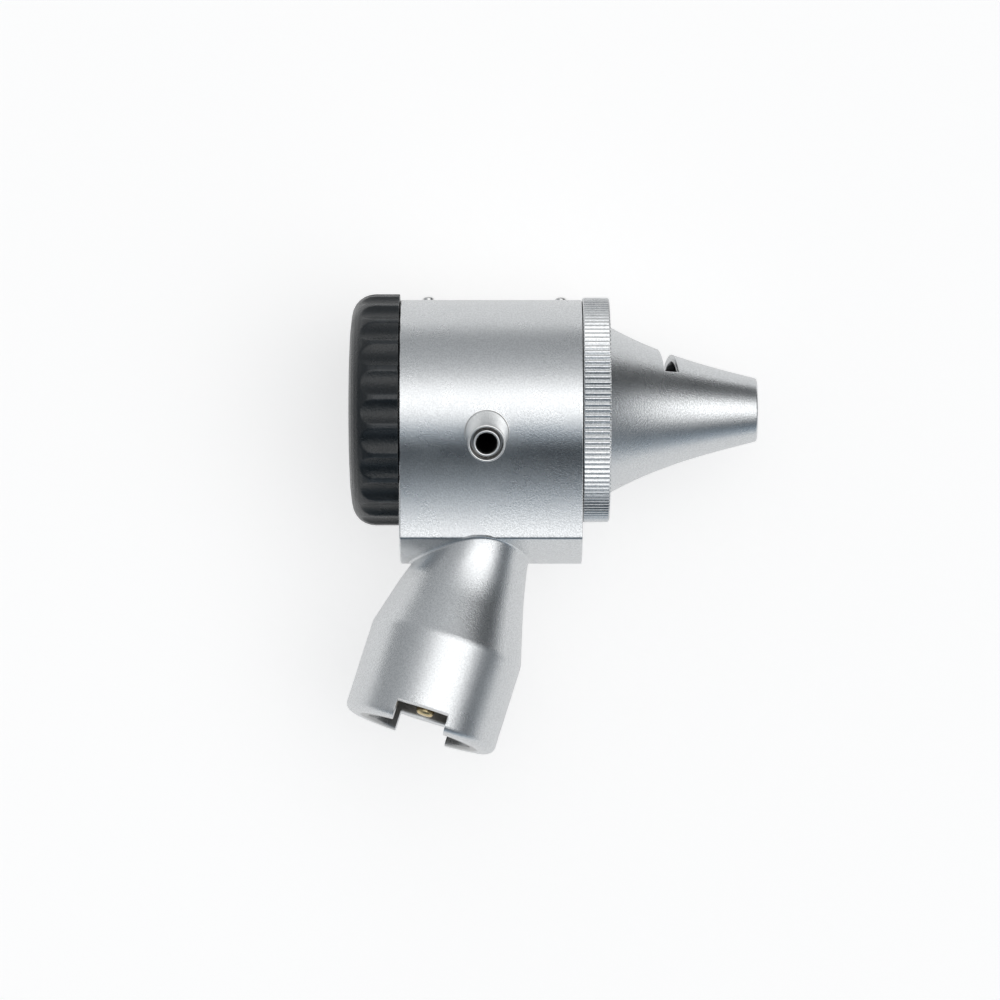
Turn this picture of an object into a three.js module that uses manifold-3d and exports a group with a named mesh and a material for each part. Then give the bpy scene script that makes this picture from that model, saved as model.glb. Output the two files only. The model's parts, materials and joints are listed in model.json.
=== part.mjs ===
// Fibre-optic otoscope head: a satin silver body with a screwed magnifier cap, a slotted nose
// cone under a knurled clamp ring, an air nipple, and a tilted neck that plugs on a handle.
// Units are millimetres and +Z is up. The origin is the centre of the neck's mouth. The optical
// axis runs along +X, from the magnifier towards the ear, and the air nipple is on the -Y side.

import * as THREE from 'three';
import { mergeVertices } from 'three/addons/utils/BufferGeometryUtils.js';
import Module from 'manifold-3d';

const wasm = await Module();
wasm.setup();

// ---------------------------------------------------------------- driving dimensions

const gap = 0.3;                       // clearance between neighbouring pieces
const degree = Math.PI / 180;

// layout
const opticalHeight = 41.2;            // optical axis above the mouth's centre
const neckTilt = 17.5 * degree;        // neck axis from the vertical, leaning forward going up

// body shell: stations along the optical axis, and its section
const shellRear = -2.4;
const shellFront = 20.6;
const shellRadius = 14.0;
const shellBore = 11.5;
const flankRadius = 28.0;              // hollow flanks under the round body
const flankStart = 32.5 * degree;      // where the round turns into the hollow flank
const flankLean = 10.0 * degree;       // lean of the flank at the lower edge
const footDepth = 19.6;                // lowest line of the foot, below the optical axis

// threaded collars pressed into the shell's ends
const collarRadius = shellBore - gap;
const collarBore = 10.2;
const rearCollarEnd = -4.6;
const rearCollarDepth = 3.4;
const capThread = 12.4;
const frontCollarStart = 14.6;
const frontCollarWall = 17.6;
const frontCollarEnd = 21.5;
const ringThread = 12.2;

// black magnifier cap and what it holds
const capFront = shellRear - gap;
const capRadius = 14.75;
const capLedge = -8.1;
const capWindow = 8.6;
const capLip = -8.75;                  // rear of the window's flared edge
const capDome = [[10.4, -8.68], [12.2, -8.45], [13.6, -7.95], [14.4, -7.2]];
const capRimStart = -6.2;              // where the rear rounding meets the rim
const capThreadClearance = 0.35;
const capStep = rearCollarEnd - gap;
const lensBore = 9.6;
const lensRadius = lensBore - gap;
const fluteCount = 25;
const fluteRadius = 1.35;
const fluteDepth = 0.5;
const fluteStart = -7.0;
const sealGrooveInner = 10.6;
const sealGrooveOuter = 12.2;
const sealGrooveDepth = 1.1;
const sealWire = 0.45;
const lensEdge = 0.8;
const lensBulge = 0.9;
const lensGasketStart = -6.7;
const lensGasketEnd = -6.2;
const lensGasketBore = 8.4;
const retainerStart = -5.9;
const retainerBore = 8.2;

// knurled clamp ring
const ringRear = shellFront + gap;
const ringFront = 24.1;
const ringRadius = 14.3;
const ringLipBack = 23.3;
const ringLipRadius = 11.4;
const knurlCount = 128;
const knurlDepth = 0.25;

// nose cone: radius = tip + taper * distance + flare * distance cubed
const noseTip = 42.9;
const noseTipRadius = 4.0;
const noseTaper = 0.25;
const noseFlare = 0.000292;
const noseWall = 0.9;
const noseFlangeRear = frontCollarEnd + gap;
const noseFlangeFront = ringLipBack - gap;
const noseFlangeRadius = 12.2;
const slotStation = 30.95;
const slotWidth = 1.9;
const slotFloor = 3.85;                // slot's flat floor, above the optical axis
const slotSkew = 9.0 * degree;         // the -Y end of the slot lies further forward
const noseSealRadius = 10.95;
const noseSealWire = 0.36;
const noseSealGroove = 0.65;           // depth of the seal's groove in the flange

// viewing tunnel and light pipe
const tunnelRadius = 7.4;
const tunnelBore = 6.8;
const tunnelRear = -4.2;
const tunnelFront = 21.3;
const tunnelFlange = 0.8;
const pipeRadius = 0.95;
const pipeDepth = 8.9;                 // pipe's run under the tunnel, below the optical axis
const pipeExitStation = 36.0;
const pipeExitDepth = 3.5;

// air nipple
const portStation = 8.6;
const portDrop = 21.4 * degree;        // below the horizontal, on the -Y side
const portReach = 20.8;                // from the optical axis to the nipple's end
const portBaseRadius = 2.95;
const portTipRadius = 2.33;
const portBore = 1.2;
const portStub = 1.9;
const portStubStart = 12.0;

// screws that hold the two collars
const screwHead = 0.8;
const screwShank = 0.45;
const rearScrewRise = 0.4;
const frontScrewRise = 0.3;
const rearScrewStation = 1.1;
const frontScrewStation = 18.0;

// neck, measured along its own axis from the mouth
const neckRadius = 9.8;
const neckBore = 6.7;
const neckShoulder = 11.75;
const neckTaper = Math.tan(15.3 * degree);
const neckEdge = 1.1;
const neckTop = 27.5;                  // before the foot's curve is cut out of it
const mouthChamfer = 0.35;
const notchWidth = 6.6;
const notchDepth = 2.45;
const lampBore = 5.0;
const lampBoreStart = 7.8;
const socketEnd = 17.5;
const unionStart = 18.0;
const unionRadius = 4.2;
const unionBore = 3.0;
const unionEnd = 27.4;
const ferruleEnd = 21.5;
const gripSpringStation = 6.4;
const gripSpringWire = 0.35;
const gripGrooveHalf = 0.6;
const gripGrooveDepth = 0.75;

// lamp
const contactTip = 2.2;
const contactEnd = 3.4;
const contactRadius = 1.15;
const insulatorStart = 3.7;
const insulatorRadius = 2.7;
const insulatorChamfer = 0.5;
const lampBaseStart = 5.1;
const lampBaseEnd = 11.8;
const lampBaseRadius = 3.6;
const lampFlangeStart = 6.6;
const lampFlangeEnd = 7.5;
const lampFlangeRadius = 4.6;
const glassRadius = 1.9;
const glassWall = 0.45;
const glassEnd = 16.0;
const glassCrown = 1.2;                // thickness of the envelope's solid end
const filamentHalf = 0.8;
const filamentWire = 0.12;

// ---------------------------------------------------------------- helpers

function finish(color, roughness, metalness, opacity = 1) {
  return new THREE.MeshStandardMaterial({ color, roughness, metalness, opacity, transparent: opacity < 1 });
}

const satin = () => finish(0xc4c7c9, 0.36, 0.9);
const bright = () => finish(0xd9dbdc, 0.2, 1.0);
const blackPlastic = () => finish(0x26292b, 0.42, 0.0);
const blackAnodised = () => finish(0x111213, 0.6, 0.4);
const rubber = () => finish(0x1b1b1b, 0.8, 0.0);
const brass = () => finish(0xb99a55, 0.3, 1.0);
const glass = () => finish(0xdde6ea, 0.05, 0.0, 0.35);

function toSolid(geometry) {
  const bare = geometry.clone();
  bare.deleteAttribute('normal');
  bare.deleteAttribute('uv');
  const merged = mergeVertices(bare, 1e-4);
  return new wasm.Manifold(new wasm.Mesh({
    numProp: 3,
    vertProperties: new Float32Array(merged.attributes.position.array),
    triVerts: new Uint32Array(merged.index.array),
  }));
}

function toGeometry(solid) {
  const mesh = solid.getMesh();
  const geometry = new THREE.BufferGeometry();
  geometry.setAttribute('position', new THREE.BufferAttribute(new Float32Array(mesh.vertProperties), 3));
  geometry.setIndex(new THREE.BufferAttribute(new Uint32Array(mesh.triVerts), 1));
  geometry.computeVertexNormals();
  return geometry;
}

function cut(geometry, ...tools) {
  let solid = toSolid(geometry);
  for (const tool of tools) solid = solid.subtract(toSolid(tool));
  return toGeometry(solid);
}

// A closed outline of [radius, station] pairs turned about the local Z axis.
// The outline runs anticlockwise in that plane, and closes on itself unless it ends on the axis.
function turned(outline, segments = 40) {
  const points = outline.map(([radius, station]) => new THREE.Vector2(radius, station));
  const last = outline[outline.length - 1];
  if (last[0] > 0 || outline[0][0] > 0) points.push(points[0].clone());
  const geometry = new THREE.LatheGeometry(points, segments);
  return geometry.rotateX(Math.PI / 2);
}

function rod(radius, start, end, segments = 28) {
  return turned([[0, start], [radius, start], [radius, end], [0, end]], segments);
}

function tube(outer, inner, start, end, segments = 32) {
  return turned([[inner, start], [outer, start], [outer, end], [inner, end]], segments);
}

function wireRing(ringSize, wire, station, segments = 36, sides = 6) {
  const outline = [];
  for (let i = 0; i < sides; i += 1) {
    const angle = (i / sides) * 2 * Math.PI;
    outline.push([ringSize + wire * Math.cos(angle), station + wire * Math.sin(angle)]);
  }
  return turned(outline, segments);
}

function piece(name, geometry, material, parent) {
  const mesh = new THREE.Mesh(geometry, material);
  mesh.name = name;
  parent.add(mesh);
  return mesh;
}

// ---------------------------------------------------------------- frames

const otoscope = new THREE.Group();

// optics: local Z is the optical axis, local X points down, local Y stays
const optics = new THREE.Group();
optics.position.set(0, 0, opticalHeight);
optics.rotation.y = Math.PI / 2;
optics.updateMatrix();
otoscope.add(optics);

// neck: local Z is the neck's axis, pointing up into the body
const neck = new THREE.Group();
neck.rotation.y = neckTilt;
neck.updateMatrix();
otoscope.add(neck);

// port: local Z runs outwards along the air nipple, inside the optics frame
const port = new THREE.Group();
port.position.set(0, 0, portStation);
port.quaternion.setFromUnitVectors(
  new THREE.Vector3(0, 0, 1),
  new THREE.Vector3(Math.sin(portDrop), -Math.cos(portDrop), 0),
);
port.updateMatrix();
optics.add(port);

const neckInOptics = optics.matrix.clone().invert().multiply(neck.matrix);
const opticsInNeck = neckInOptics.clone().invert();

const portTool = (geometry) => geometry.applyMatrix4(port.matrix);
const neckTool = (geometry) => geometry.applyMatrix4(neckInOptics);

// a tool that stands straight up from the optical axis at a station
function topTool(radius, from, to, station, segments = 24) {
  return rod(radius, from, to, segments).rotateY(-Math.PI / 2).translate(0, 0, station);
}

// ---------------------------------------------------------------- body shell

// Section of the body, in (down, across): a round top, hollow flanks and a gently round foot.
function shellSection() {
  const flankCentre = shellRadius + flankRadius;
  const down = flankCentre * Math.sin(flankStart);
  const across = flankCentre * Math.cos(flankStart);
  const edgeDown = down - flankRadius * Math.sin(flankLean);
  const edgeAcross = across - flankRadius * Math.cos(flankLean);
  const sag = footDepth - edgeDown;
  const footRadius = (edgeAcross ** 2 + sag ** 2) / (2 * sag);
  const footHalf = Math.asin(edgeAcross / footRadius);
  const quarter = Math.PI / 2;

  const section = new THREE.Shape();
  section.absarc(0, 0, shellRadius, quarter - flankStart, 3 * quarter + flankStart, false);
  section.absarc(down, -across, flankRadius, quarter + flankStart, quarter + flankLean, true);
  section.absarc(footDepth - footRadius, 0, footRadius, -footHalf, footHalf, false);
  section.absarc(down, across, flankRadius, 3 * quarter - flankLean, 3 * quarter - flankStart, true);
  return { section, footRadius };
}

const { section: bodySection, footRadius } = shellSection();

function headShell() {
  const block = new THREE.ExtrudeGeometry(bodySection, {
    depth: shellFront - shellRear,
    bevelEnabled: false,
    curveSegments: 20,
  }).translate(0, 0, shellRear);
  return cut(
    block,
    rod(shellBore, shellRear - 1, shellFront + 1, 48),
    portTool(rod(portStub + gap, 5, shellRadius + 3, 24)),
    topTool(screwShank + gap, 5, shellRadius + 3, rearScrewStation, 12),
    topTool(screwShank + gap, 5, shellRadius + 3, frontScrewStation, 12),
    neckTool(rod(unionRadius + gap, unionStart, unionEnd + gap, 32)),
    neckTool(rod(pipeRadius + 2 * gap, unionStart, unionEnd + 8, 16)),
  );
}

piece('head_shell', headShell(), satin(), optics);

// ---------------------------------------------------------------- collars, tunnel, screws

const rearCollar = turned([
  [collarBore, rearCollarEnd],
  [capThread, rearCollarEnd],
  [capThread, shellRear - gap],
  [collarRadius, shellRear - gap],
  [collarRadius, rearCollarDepth],
  [collarBore, rearCollarDepth],
]);
const rearCollarCut = cut(
  rearCollar,
  topTool(screwShank + gap, 5, shellRadius, rearScrewStation, 12),
);
piece('rear_collar', rearCollarCut, bright(), optics);

const frontCollar = turned([
  [collarBore, frontCollarStart],
  [collarRadius, frontCollarStart],
  [collarRadius, shellFront + gap],
  [ringThread, shellFront + gap],
  [ringThread, frontCollarEnd],
  [tunnelRadius + gap, frontCollarEnd],
  [tunnelRadius + gap, frontCollarWall],
  [collarBore, frontCollarWall],
]);
const pipeHole = rod(pipeRadius + gap, frontCollarWall - 1, frontCollarEnd + 1, 16)
  .translate(pipeDepth, 0, 0);
const frontCollarCut = cut(
  frontCollar,
  pipeHole,
  topTool(screwShank + gap, collarRadius - 2.2, shellRadius, frontScrewStation, 12),
);
piece('front_collar', frontCollarCut, bright(), optics);

const viewingTube = turned([
  [tunnelBore, tunnelRear],
  [collarBore - gap, tunnelRear],
  [collarBore - gap, tunnelRear + tunnelFlange],
  [tunnelRadius, tunnelRear + tunnelFlange],
  [tunnelRadius, tunnelFront],
  [tunnelBore, tunnelFront],
]);
piece('viewing_tube', cut(viewingTube, portTool(rod(portBore, 5, 9, 16))), blackAnodised(), optics);

function collarScrew(headHeight, tip) {
  const top = shellRadius + gap + headHeight;
  return turned([
    [0, tip],
    [screwShank, tip],
    [screwShank, shellRadius + gap / 2],
    [screwHead, shellRadius + gap / 2],
    [screwHead * 0.85, top - headHeight * 0.35],
    [screwHead * 0.5, top - headHeight * 0.08],
    [0, top],
  ], 20);
}

function placeScrew(name, headHeight, tip, station) {
  const screw = piece(name, collarScrew(headHeight, tip), bright(), optics);
  screw.rotation.y = -Math.PI / 2;
  screw.position.z = station;
}

placeScrew('rear_screw', rearScrewRise, collarBore + gap, rearScrewStation);
placeScrew('front_screw', frontScrewRise, collarRadius - 1.6, frontScrewStation);

// ---------------------------------------------------------------- air nipple

const nipple = turned([
  [portBore, portStubStart],
  [portStub, portStubStart],
  [portStub, shellRadius + gap],
  [portBaseRadius, shellRadius + gap],
  [portTipRadius + 0.12, portReach - 0.9],
  [portTipRadius, portReach - 0.3],
  [portTipRadius - 0.25, portReach],
  [portBore + 0.5, portReach],
  [portBore, portReach - 0.5],
], 28);
piece('insufflation_port', nipple, bright(), port);

// ---------------------------------------------------------------- magnifier cap

function lensCapGeometry() {
  const body = turned([
    [capWindow, capLedge],
    [capWindow + 0.25, capLip],
    ...capDome,
    [capRadius, capRimStart],
    [capRadius, capFront],
    [capThread + capThreadClearance, capFront],
    [capThread + capThreadClearance, capStep],
    [sealGrooveOuter, capStep],
    [sealGrooveOuter, capStep - sealGrooveDepth],
    [sealGrooveInner, capStep - sealGrooveDepth],
    [sealGrooveInner, capStep],
    [lensBore, capStep],
    [lensBore, capLedge],
  ], 50);
  const flutes = [];
  for (let i = 0; i < fluteCount; i += 1) {
    const angle = ((i + 0.5) / fluteCount) * 2 * Math.PI;
    const reach = capRadius + fluteRadius - fluteDepth;
    flutes.push(rod(fluteRadius, fluteStart, capFront + 1, 10)
      .translate(reach * Math.cos(angle), reach * Math.sin(angle), 0));
  }
  return cut(body, ...flutes);
}

piece('lens_cap', lensCapGeometry(), blackPlastic(), optics);

function lensGeometry() {
  const edgeRear = capLedge + gap;
  const edgeFront = edgeRear + lensEdge;
  const outline = [[0, edgeFront], [lensRadius, edgeFront], [lensRadius, edgeRear]];
  for (let i = 1; i <= 4; i += 1) {
    const radius = lensRadius * (1 - i / 4);
    outline.push([radius, edgeRear - lensBulge * (1 - (radius / lensRadius) ** 2)]);
  }
  return turned(outline.reverse(), 36);
}

piece('lens', lensGeometry(), glass(), optics);
piece('lens_gasket', tube(lensRadius, lensGasketBore, lensGasketStart, lensGasketEnd), rubber(), optics);
piece('lens_retainer', tube(lensRadius, retainerBore, retainerStart, capStep), blackAnodised(), optics);
const capSealRadius = (sealGrooveInner + sealGrooveOuter) / 2;
const capSealStation = capStep - sealWire + 0.05;
piece('cap_seal', wireRing(capSealRadius, sealWire, capSealStation), rubber(), optics);

// ---------------------------------------------------------------- nose cone and clamp ring

function noseRadiusAt(station) {
  const distance = noseTip - station;
  return noseTipRadius + noseTaper * distance + noseFlare * distance ** 3;
}

function noseGeometry() {
  const stations = 8;
  const outer = [];
  const inner = [];
  for (let i = 0; i <= stations; i += 1) {
    const station = noseFlangeFront + (noseTip - 0.2 - noseFlangeFront) * (i / stations);
    outer.push([noseRadiusAt(station), station]);
    inner.push([noseRadiusAt(station) - noseWall, station]);
  }
  inner[stations][1] = noseTip;
  const outline = [
    [noseRadiusAt(noseFlangeFront) - noseWall, noseFlangeRear],
    [noseFlangeRadius, noseFlangeRear],
    [noseFlangeRadius, noseFlangeFront],
    ...outer,
    [noseTipRadius - 0.2, noseTip],
    ...inner.reverse(),
  ];
  const slot = new THREE.BoxGeometry(10, 30, slotWidth)
    .translate(-5 - slotFloor, 0, 0)
    .rotateX(-slotSkew)
    .translate(0, 0, slotStation);
  const sealGroove = tube(
    noseSealRadius + 0.6,
    noseSealRadius - 0.6,
    noseFlangeRear - 1,
    noseFlangeRear + noseSealGroove,
  );
  return cut(turned(outline, 44), slot, sealGroove);
}

piece('nose_cone', noseGeometry(), satin(), optics);
piece('nose_seal', wireRing(noseSealRadius, noseSealWire, noseFlangeRear + 0.2), rubber(), optics);

function clampRingGeometry() {
  const outline = new THREE.Shape();
  for (let i = 0; i < 2 * knurlCount; i += 1) {
    const angle = (i / (2 * knurlCount)) * 2 * Math.PI;
    const radius = i % 2 === 0 ? ringRadius : ringRadius - knurlDepth;
    const x = radius * Math.cos(angle);
    const y = radius * Math.sin(angle);
    if (i === 0) outline.moveTo(x, y);
    else outline.lineTo(x, y);
  }
  outline.closePath();
  const disc = new THREE.ExtrudeGeometry(outline, { depth: ringFront - ringRear, bevelEnabled: false })
    .translate(0, 0, ringRear);
  return cut(
    disc,
    rod(ringThread + gap, ringRear - 1, ringLipBack, 48),
    rod(ringLipRadius, ringRear - 1, ringFront + 1, 48),
  );
}

piece('clamp_ring', clampRingGeometry(), satin(), optics);

// ---------------------------------------------------------------- light pipe

function lightPipe() {
  const start = new THREE.Vector3(0, 0, unionStart + 0.1).applyMatrix4(neckInOptics);
  const rise = new THREE.Vector3(0, 0, unionEnd + 0.6).applyMatrix4(neckInOptics);
  const path = new THREE.CatmullRomCurve3([
    start,
    new THREE.Vector3(0, 0, 22.5).applyMatrix4(neckInOptics),
    rise,
    new THREE.Vector3(pipeDepth + 0.7, 0, 10.8),
    new THREE.Vector3(pipeDepth, 0, 13.4),
    new THREE.Vector3(pipeDepth, 0, 17.0),
    new THREE.Vector3(pipeDepth, 0, 21.0),
    new THREE.Vector3(pipeDepth - 0.8, 0, 24.5),
    new THREE.Vector3(5.6, 0, 30.7),
    new THREE.Vector3(pipeExitDepth, 0, pipeExitStation),
  ]);
  const round = new THREE.Shape();
  round.absarc(0, 0, pipeRadius, 0, 2 * Math.PI, false);
  return new THREE.ExtrudeGeometry(round, { steps: 30, curveSegments: 4, extrudePath: path });
}

piece('light_pipe', lightPipe(), finish(0x2c2f31, 0.5, 0.2), optics);

// ---------------------------------------------------------------- neck

function neckShell() {
  const topRadius = neckRadius - neckTaper * (neckTop - neckShoulder);
  const barrel = turned([
    [unionRadius + gap, neckTop],
    [unionRadius + gap, unionStart],
    [lampBore, unionStart],
    [lampBore, lampBoreStart],
    [neckBore, lampBoreStart],
    [neckBore, gripSpringStation + gripGrooveHalf],
    [neckBore + gripGrooveDepth, gripSpringStation + gripGrooveHalf],
    [neckBore + gripGrooveDepth, gripSpringStation - gripGrooveHalf],
    [neckBore, gripSpringStation - gripGrooveHalf],
    [neckBore, mouthChamfer],
    [neckBore + mouthChamfer, 0],
    [neckRadius - neckEdge, 0],
    [neckRadius - neckEdge * 0.3, neckEdge * 0.3],
    [neckRadius, neckEdge],
    [neckRadius, neckShoulder],
    [topRadius, neckTop],
  ], 44);
  const notch = new THREE.BoxGeometry(notchWidth, 30, 2 * notchDepth);
  const saddle = rod(footRadius + gap, shellRear - 12, shellFront + 12, 72)
    .translate(footDepth - footRadius, 0, 0)
    .applyMatrix4(opticsInNeck);
  return cut(barrel, notch, saddle);
}

piece('neck_shell', neckShell(), satin(), neck);
piece('neck_union', tube(unionRadius, unionBore, unionStart + gap, unionEnd, 32), bright(), neck);
const ferrule = tube(unionBore - gap, pipeRadius + gap, unionStart + gap, ferruleEnd, 24);
piece('guide_ferrule', ferrule, brass(), neck);
const socket = tube(lampBore - gap, lampBaseRadius + gap, lampBoreStart + gap, socketEnd, 32);
piece('lamp_socket', socket, brass(), neck);

// Split wire ring that grips the handle's spigot: a bent wire with a gap between its ends.
function gripSpring() {
  const wire = new THREE.Shape();
  wire.absarc(0, 0, gripSpringWire, 0, 2 * Math.PI, false);
  const open = 20 * degree;
  const points = [];
  for (let i = 0; i <= 36; i += 1) {
    const angle = open + (i / 36) * (2 * Math.PI - 2 * open);
    points.push(new THREE.Vector3(neckBore * Math.cos(angle), neckBore * Math.sin(angle), gripSpringStation));
  }
  const path = new THREE.CatmullRomCurve3(points);
  return new THREE.ExtrudeGeometry(wire, { steps: 30, curveSegments: 3, extrudePath: path });
}

piece('grip_spring', gripSpring(), bright(), neck);

// ---------------------------------------------------------------- lamp

piece('lamp_base', turned([
  [0, lampBaseStart],
  [lampBaseRadius - 0.3, lampBaseStart],
  [lampBaseRadius, lampBaseStart + 0.3],
  [lampBaseRadius, lampFlangeStart],
  [lampFlangeRadius, lampFlangeStart],
  [lampFlangeRadius, lampFlangeEnd],
  [lampBaseRadius, lampFlangeEnd],
  [lampBaseRadius, lampBaseEnd],
  [0, lampBaseEnd],
], 32), brass(), neck);

piece('lamp_insulator', turned([
  [0, insulatorStart],
  [insulatorRadius - insulatorChamfer, insulatorStart],
  [insulatorRadius, insulatorStart + insulatorChamfer],
  [insulatorRadius, lampBaseStart - gap],
  [0, lampBaseStart - gap],
], 28), finish(0x3a3230, 0.5, 0.0), neck);

piece('lamp_contact', turned([
  [0, contactTip],
  [contactRadius * 0.6, contactTip + 0.15],
  [contactRadius, contactTip + 0.6],
  [contactRadius, contactEnd],
  [0, contactEnd],
], 24), brass(), neck);

piece('lamp_glass', turned([
  [glassRadius - glassWall, lampBaseEnd + gap],
  [glassRadius, lampBaseEnd + gap],
  [glassRadius, glassEnd - 1.5],
  [glassRadius * 0.8, glassEnd - 0.6],
  [glassRadius * 0.45, glassEnd - 0.12],
  [0, glassEnd],
  [0, glassEnd - glassCrown],
  [glassRadius * 0.45, glassEnd - glassCrown - 0.2],
  [glassRadius - glassWall, glassEnd - glassCrown - 0.8],
], 24), glass(), neck);

function filament() {
  const wire = new THREE.Shape();
  wire.absarc(0, 0, filamentWire, 0, 2 * Math.PI, false);
  const foot = lampBaseEnd + gap;
  const bend = foot + 1.1;
  const top = foot + 1.45;
  const path = new THREE.CatmullRomCurve3([
    new THREE.Vector3(-filamentHalf, 0, foot),
    new THREE.Vector3(-filamentHalf, 0, bend),
    new THREE.Vector3(-filamentHalf / 2, 0, top),
    new THREE.Vector3(filamentHalf / 2, 0, top),
    new THREE.Vector3(filamentHalf, 0, bend),
    new THREE.Vector3(filamentHalf, 0, foot),
  ]);
  return new THREE.ExtrudeGeometry(wire, { steps: 14, curveSegments: 3, extrudePath: path });
}

piece('lamp_filament', filament(), finish(0x8a8f94, 0.4, 1.0), neck);

export default otoscope;
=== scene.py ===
# %% [markdown]
# # The head of an otoscope
# An otoscope is the small lamp and magnifier that a doctor looks into an ear with. This is its
# head, no longer than a thumb: a black fluted magnifier cap, a satin silver body with hollow
# flanks and a narrow foot, an air nipple, a knurled clamp ring, a slotted nose cone, and a tilted
# neck that plugs on a handle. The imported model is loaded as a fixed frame, where every node has
# its true place and size. Each step below makes one node again as a finely shaped piece.

# %% Load the frame
import json
import math

import bpy
import numpy as np
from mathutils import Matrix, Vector

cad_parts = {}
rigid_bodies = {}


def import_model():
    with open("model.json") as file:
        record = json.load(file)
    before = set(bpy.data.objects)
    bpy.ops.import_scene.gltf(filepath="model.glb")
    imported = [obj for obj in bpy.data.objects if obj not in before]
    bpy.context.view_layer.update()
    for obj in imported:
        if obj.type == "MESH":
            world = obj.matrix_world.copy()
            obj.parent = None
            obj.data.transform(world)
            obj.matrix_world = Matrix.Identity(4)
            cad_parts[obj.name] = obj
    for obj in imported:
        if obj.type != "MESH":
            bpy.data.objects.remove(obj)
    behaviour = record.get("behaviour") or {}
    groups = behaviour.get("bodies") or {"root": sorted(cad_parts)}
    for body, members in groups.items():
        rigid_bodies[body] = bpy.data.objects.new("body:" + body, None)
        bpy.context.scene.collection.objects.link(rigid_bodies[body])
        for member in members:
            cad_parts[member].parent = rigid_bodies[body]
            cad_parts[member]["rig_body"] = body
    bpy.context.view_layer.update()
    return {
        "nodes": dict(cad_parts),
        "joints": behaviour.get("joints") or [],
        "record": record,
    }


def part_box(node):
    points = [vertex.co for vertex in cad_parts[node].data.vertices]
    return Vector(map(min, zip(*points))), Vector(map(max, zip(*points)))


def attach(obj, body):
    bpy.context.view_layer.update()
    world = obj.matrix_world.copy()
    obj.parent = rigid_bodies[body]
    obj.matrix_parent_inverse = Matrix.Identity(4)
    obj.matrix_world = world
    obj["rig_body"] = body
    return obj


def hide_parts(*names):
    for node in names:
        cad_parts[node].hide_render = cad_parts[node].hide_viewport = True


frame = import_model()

record = frame["record"]
slot_of = {part["node"]: part["material_slot"] for part in record["subparts"]}

# %% [markdown]
# ## Two lines rule the shape
# Nearly every piece of the head is turned on a lathe, about one of two lines: the level optical
# axis, and the neck's leaning axis. A small class holds a line and two directions square to it,
# so one function can turn any outline about any line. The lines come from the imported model: the
# clamp ring is centred on the optical axis, and the lamp slides out along the neck's axis.

# %% Lines to turn about
mm = 0.001


def spots_of(mesh):
    """A mesh's points as rows of x, y, z."""
    spots = np.empty(len(mesh.vertices) * 3)
    mesh.vertices.foreach_get("co", spots)
    return spots.reshape(-1, 3)


class Line:
    """A line in space, with two directions square to it for measuring turns from."""

    def __init__(self, origin, along, start):
        self.origin = np.array(origin, float)
        self.along = np.array(along, float) / np.linalg.norm(along)
        start = np.array(start, float)
        start = start - self.along * (start @ self.along)
        self.first = start / np.linalg.norm(start)
        self.second = np.cross(self.along, self.first)

    def outwards(self, turn):
        """The direction away from the line at each turn: first * cos + second * sin."""
        return np.cos(turn)[..., None] * self.first + np.sin(turn)[..., None] * self.second

    def points(self, radius, turn, station):
        """Points at origin + station * along + radius * outwards(turn), for whole arrays."""
        return self.origin + station[..., None] * self.along + radius[..., None] * self.outwards(turn)

    def measure(self, mesh):
        """The station and the radius of each of a mesh's points."""
        spots = spots_of(mesh) - self.origin
        station = spots @ self.along
        return station, np.linalg.norm(spots - station[:, None] * self.along, axis=1)

    def reach(self, node):
        """A CAD node's lowest and highest station, and least and greatest radius, about the line."""
        station, radius = self.measure(frame["nodes"][node].data)
        return station.min(), station.max(), radius.min(), radius.max()


ring_low, ring_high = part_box("clamp_ring")
optical_height = (ring_low.z + ring_high.z) / 2
joint_axis = {joint["name"]: joint["axis"] for joint in frame["joints"]}
mounts = {mount["name"]: mount for mount in record["mounts"]}

optics = Line((0, 0, optical_height), (1, 0, 0), (0, 0, 1))
neck = Line((0, 0, 0), [-part for part in joint_axis["lamp_pull"]], (0, -1, 0))
port_low, port_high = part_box("insufflation_port")
port_out = Line(((port_low.x + port_high.x) / 2, 0, optical_height), mounts["port_face"]["axis"], (1, 0, 0))
_, port_reach, _, _ = port_out.reach("insufflation_port")
port = Line(port_out.origin + port_reach * port_out.along, -port_out.along, (1, 0, 0))
print("optical axis", round(optical_height / mm, 2), "mm above the neck's mouth; the neck leans",
      round(math.degrees(math.asin(neck.along[0])), 1), "degrees")

# %% [markdown]
# ## Outlines with real edges
# No machined edge is perfectly sharp. Each has a small rounding that catches the light, and that
# thin bright line is much of what makes metal look real. So an outline here is a list of corners,
# each with the radius of its rounding, and a function turns each corner into a short arc. It also
# marks the arcs, because polish and wear show first on edges, and the finishes read that mark. The
# three roundings that most edges have are named first.

# %% Rounded outlines
FINE_EDGE = 0.05 * mm
EDGE = 0.1 * mm
SOFT_EDGE = 0.15 * mm
ARC_STEP = math.radians(15)
BROAD = 0.6 * mm  # a rounding this wide is a curve of the shape, so it isn't marked
STRAIGHT = 0.02  # radians; a corner that turns less is left as it is
WORN_TURN = 0.5  # radians; a corner that turns less isn't marked
SHARED_RUN = 0.49  # how much of a run one arc may take when the run's other end is rounded too
WHOLE_RUN = 0.95  # and when it isn't
GUARD = 0.03  # how far outside the arc a guard point stands: this share of the reach, or mm at most


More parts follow.
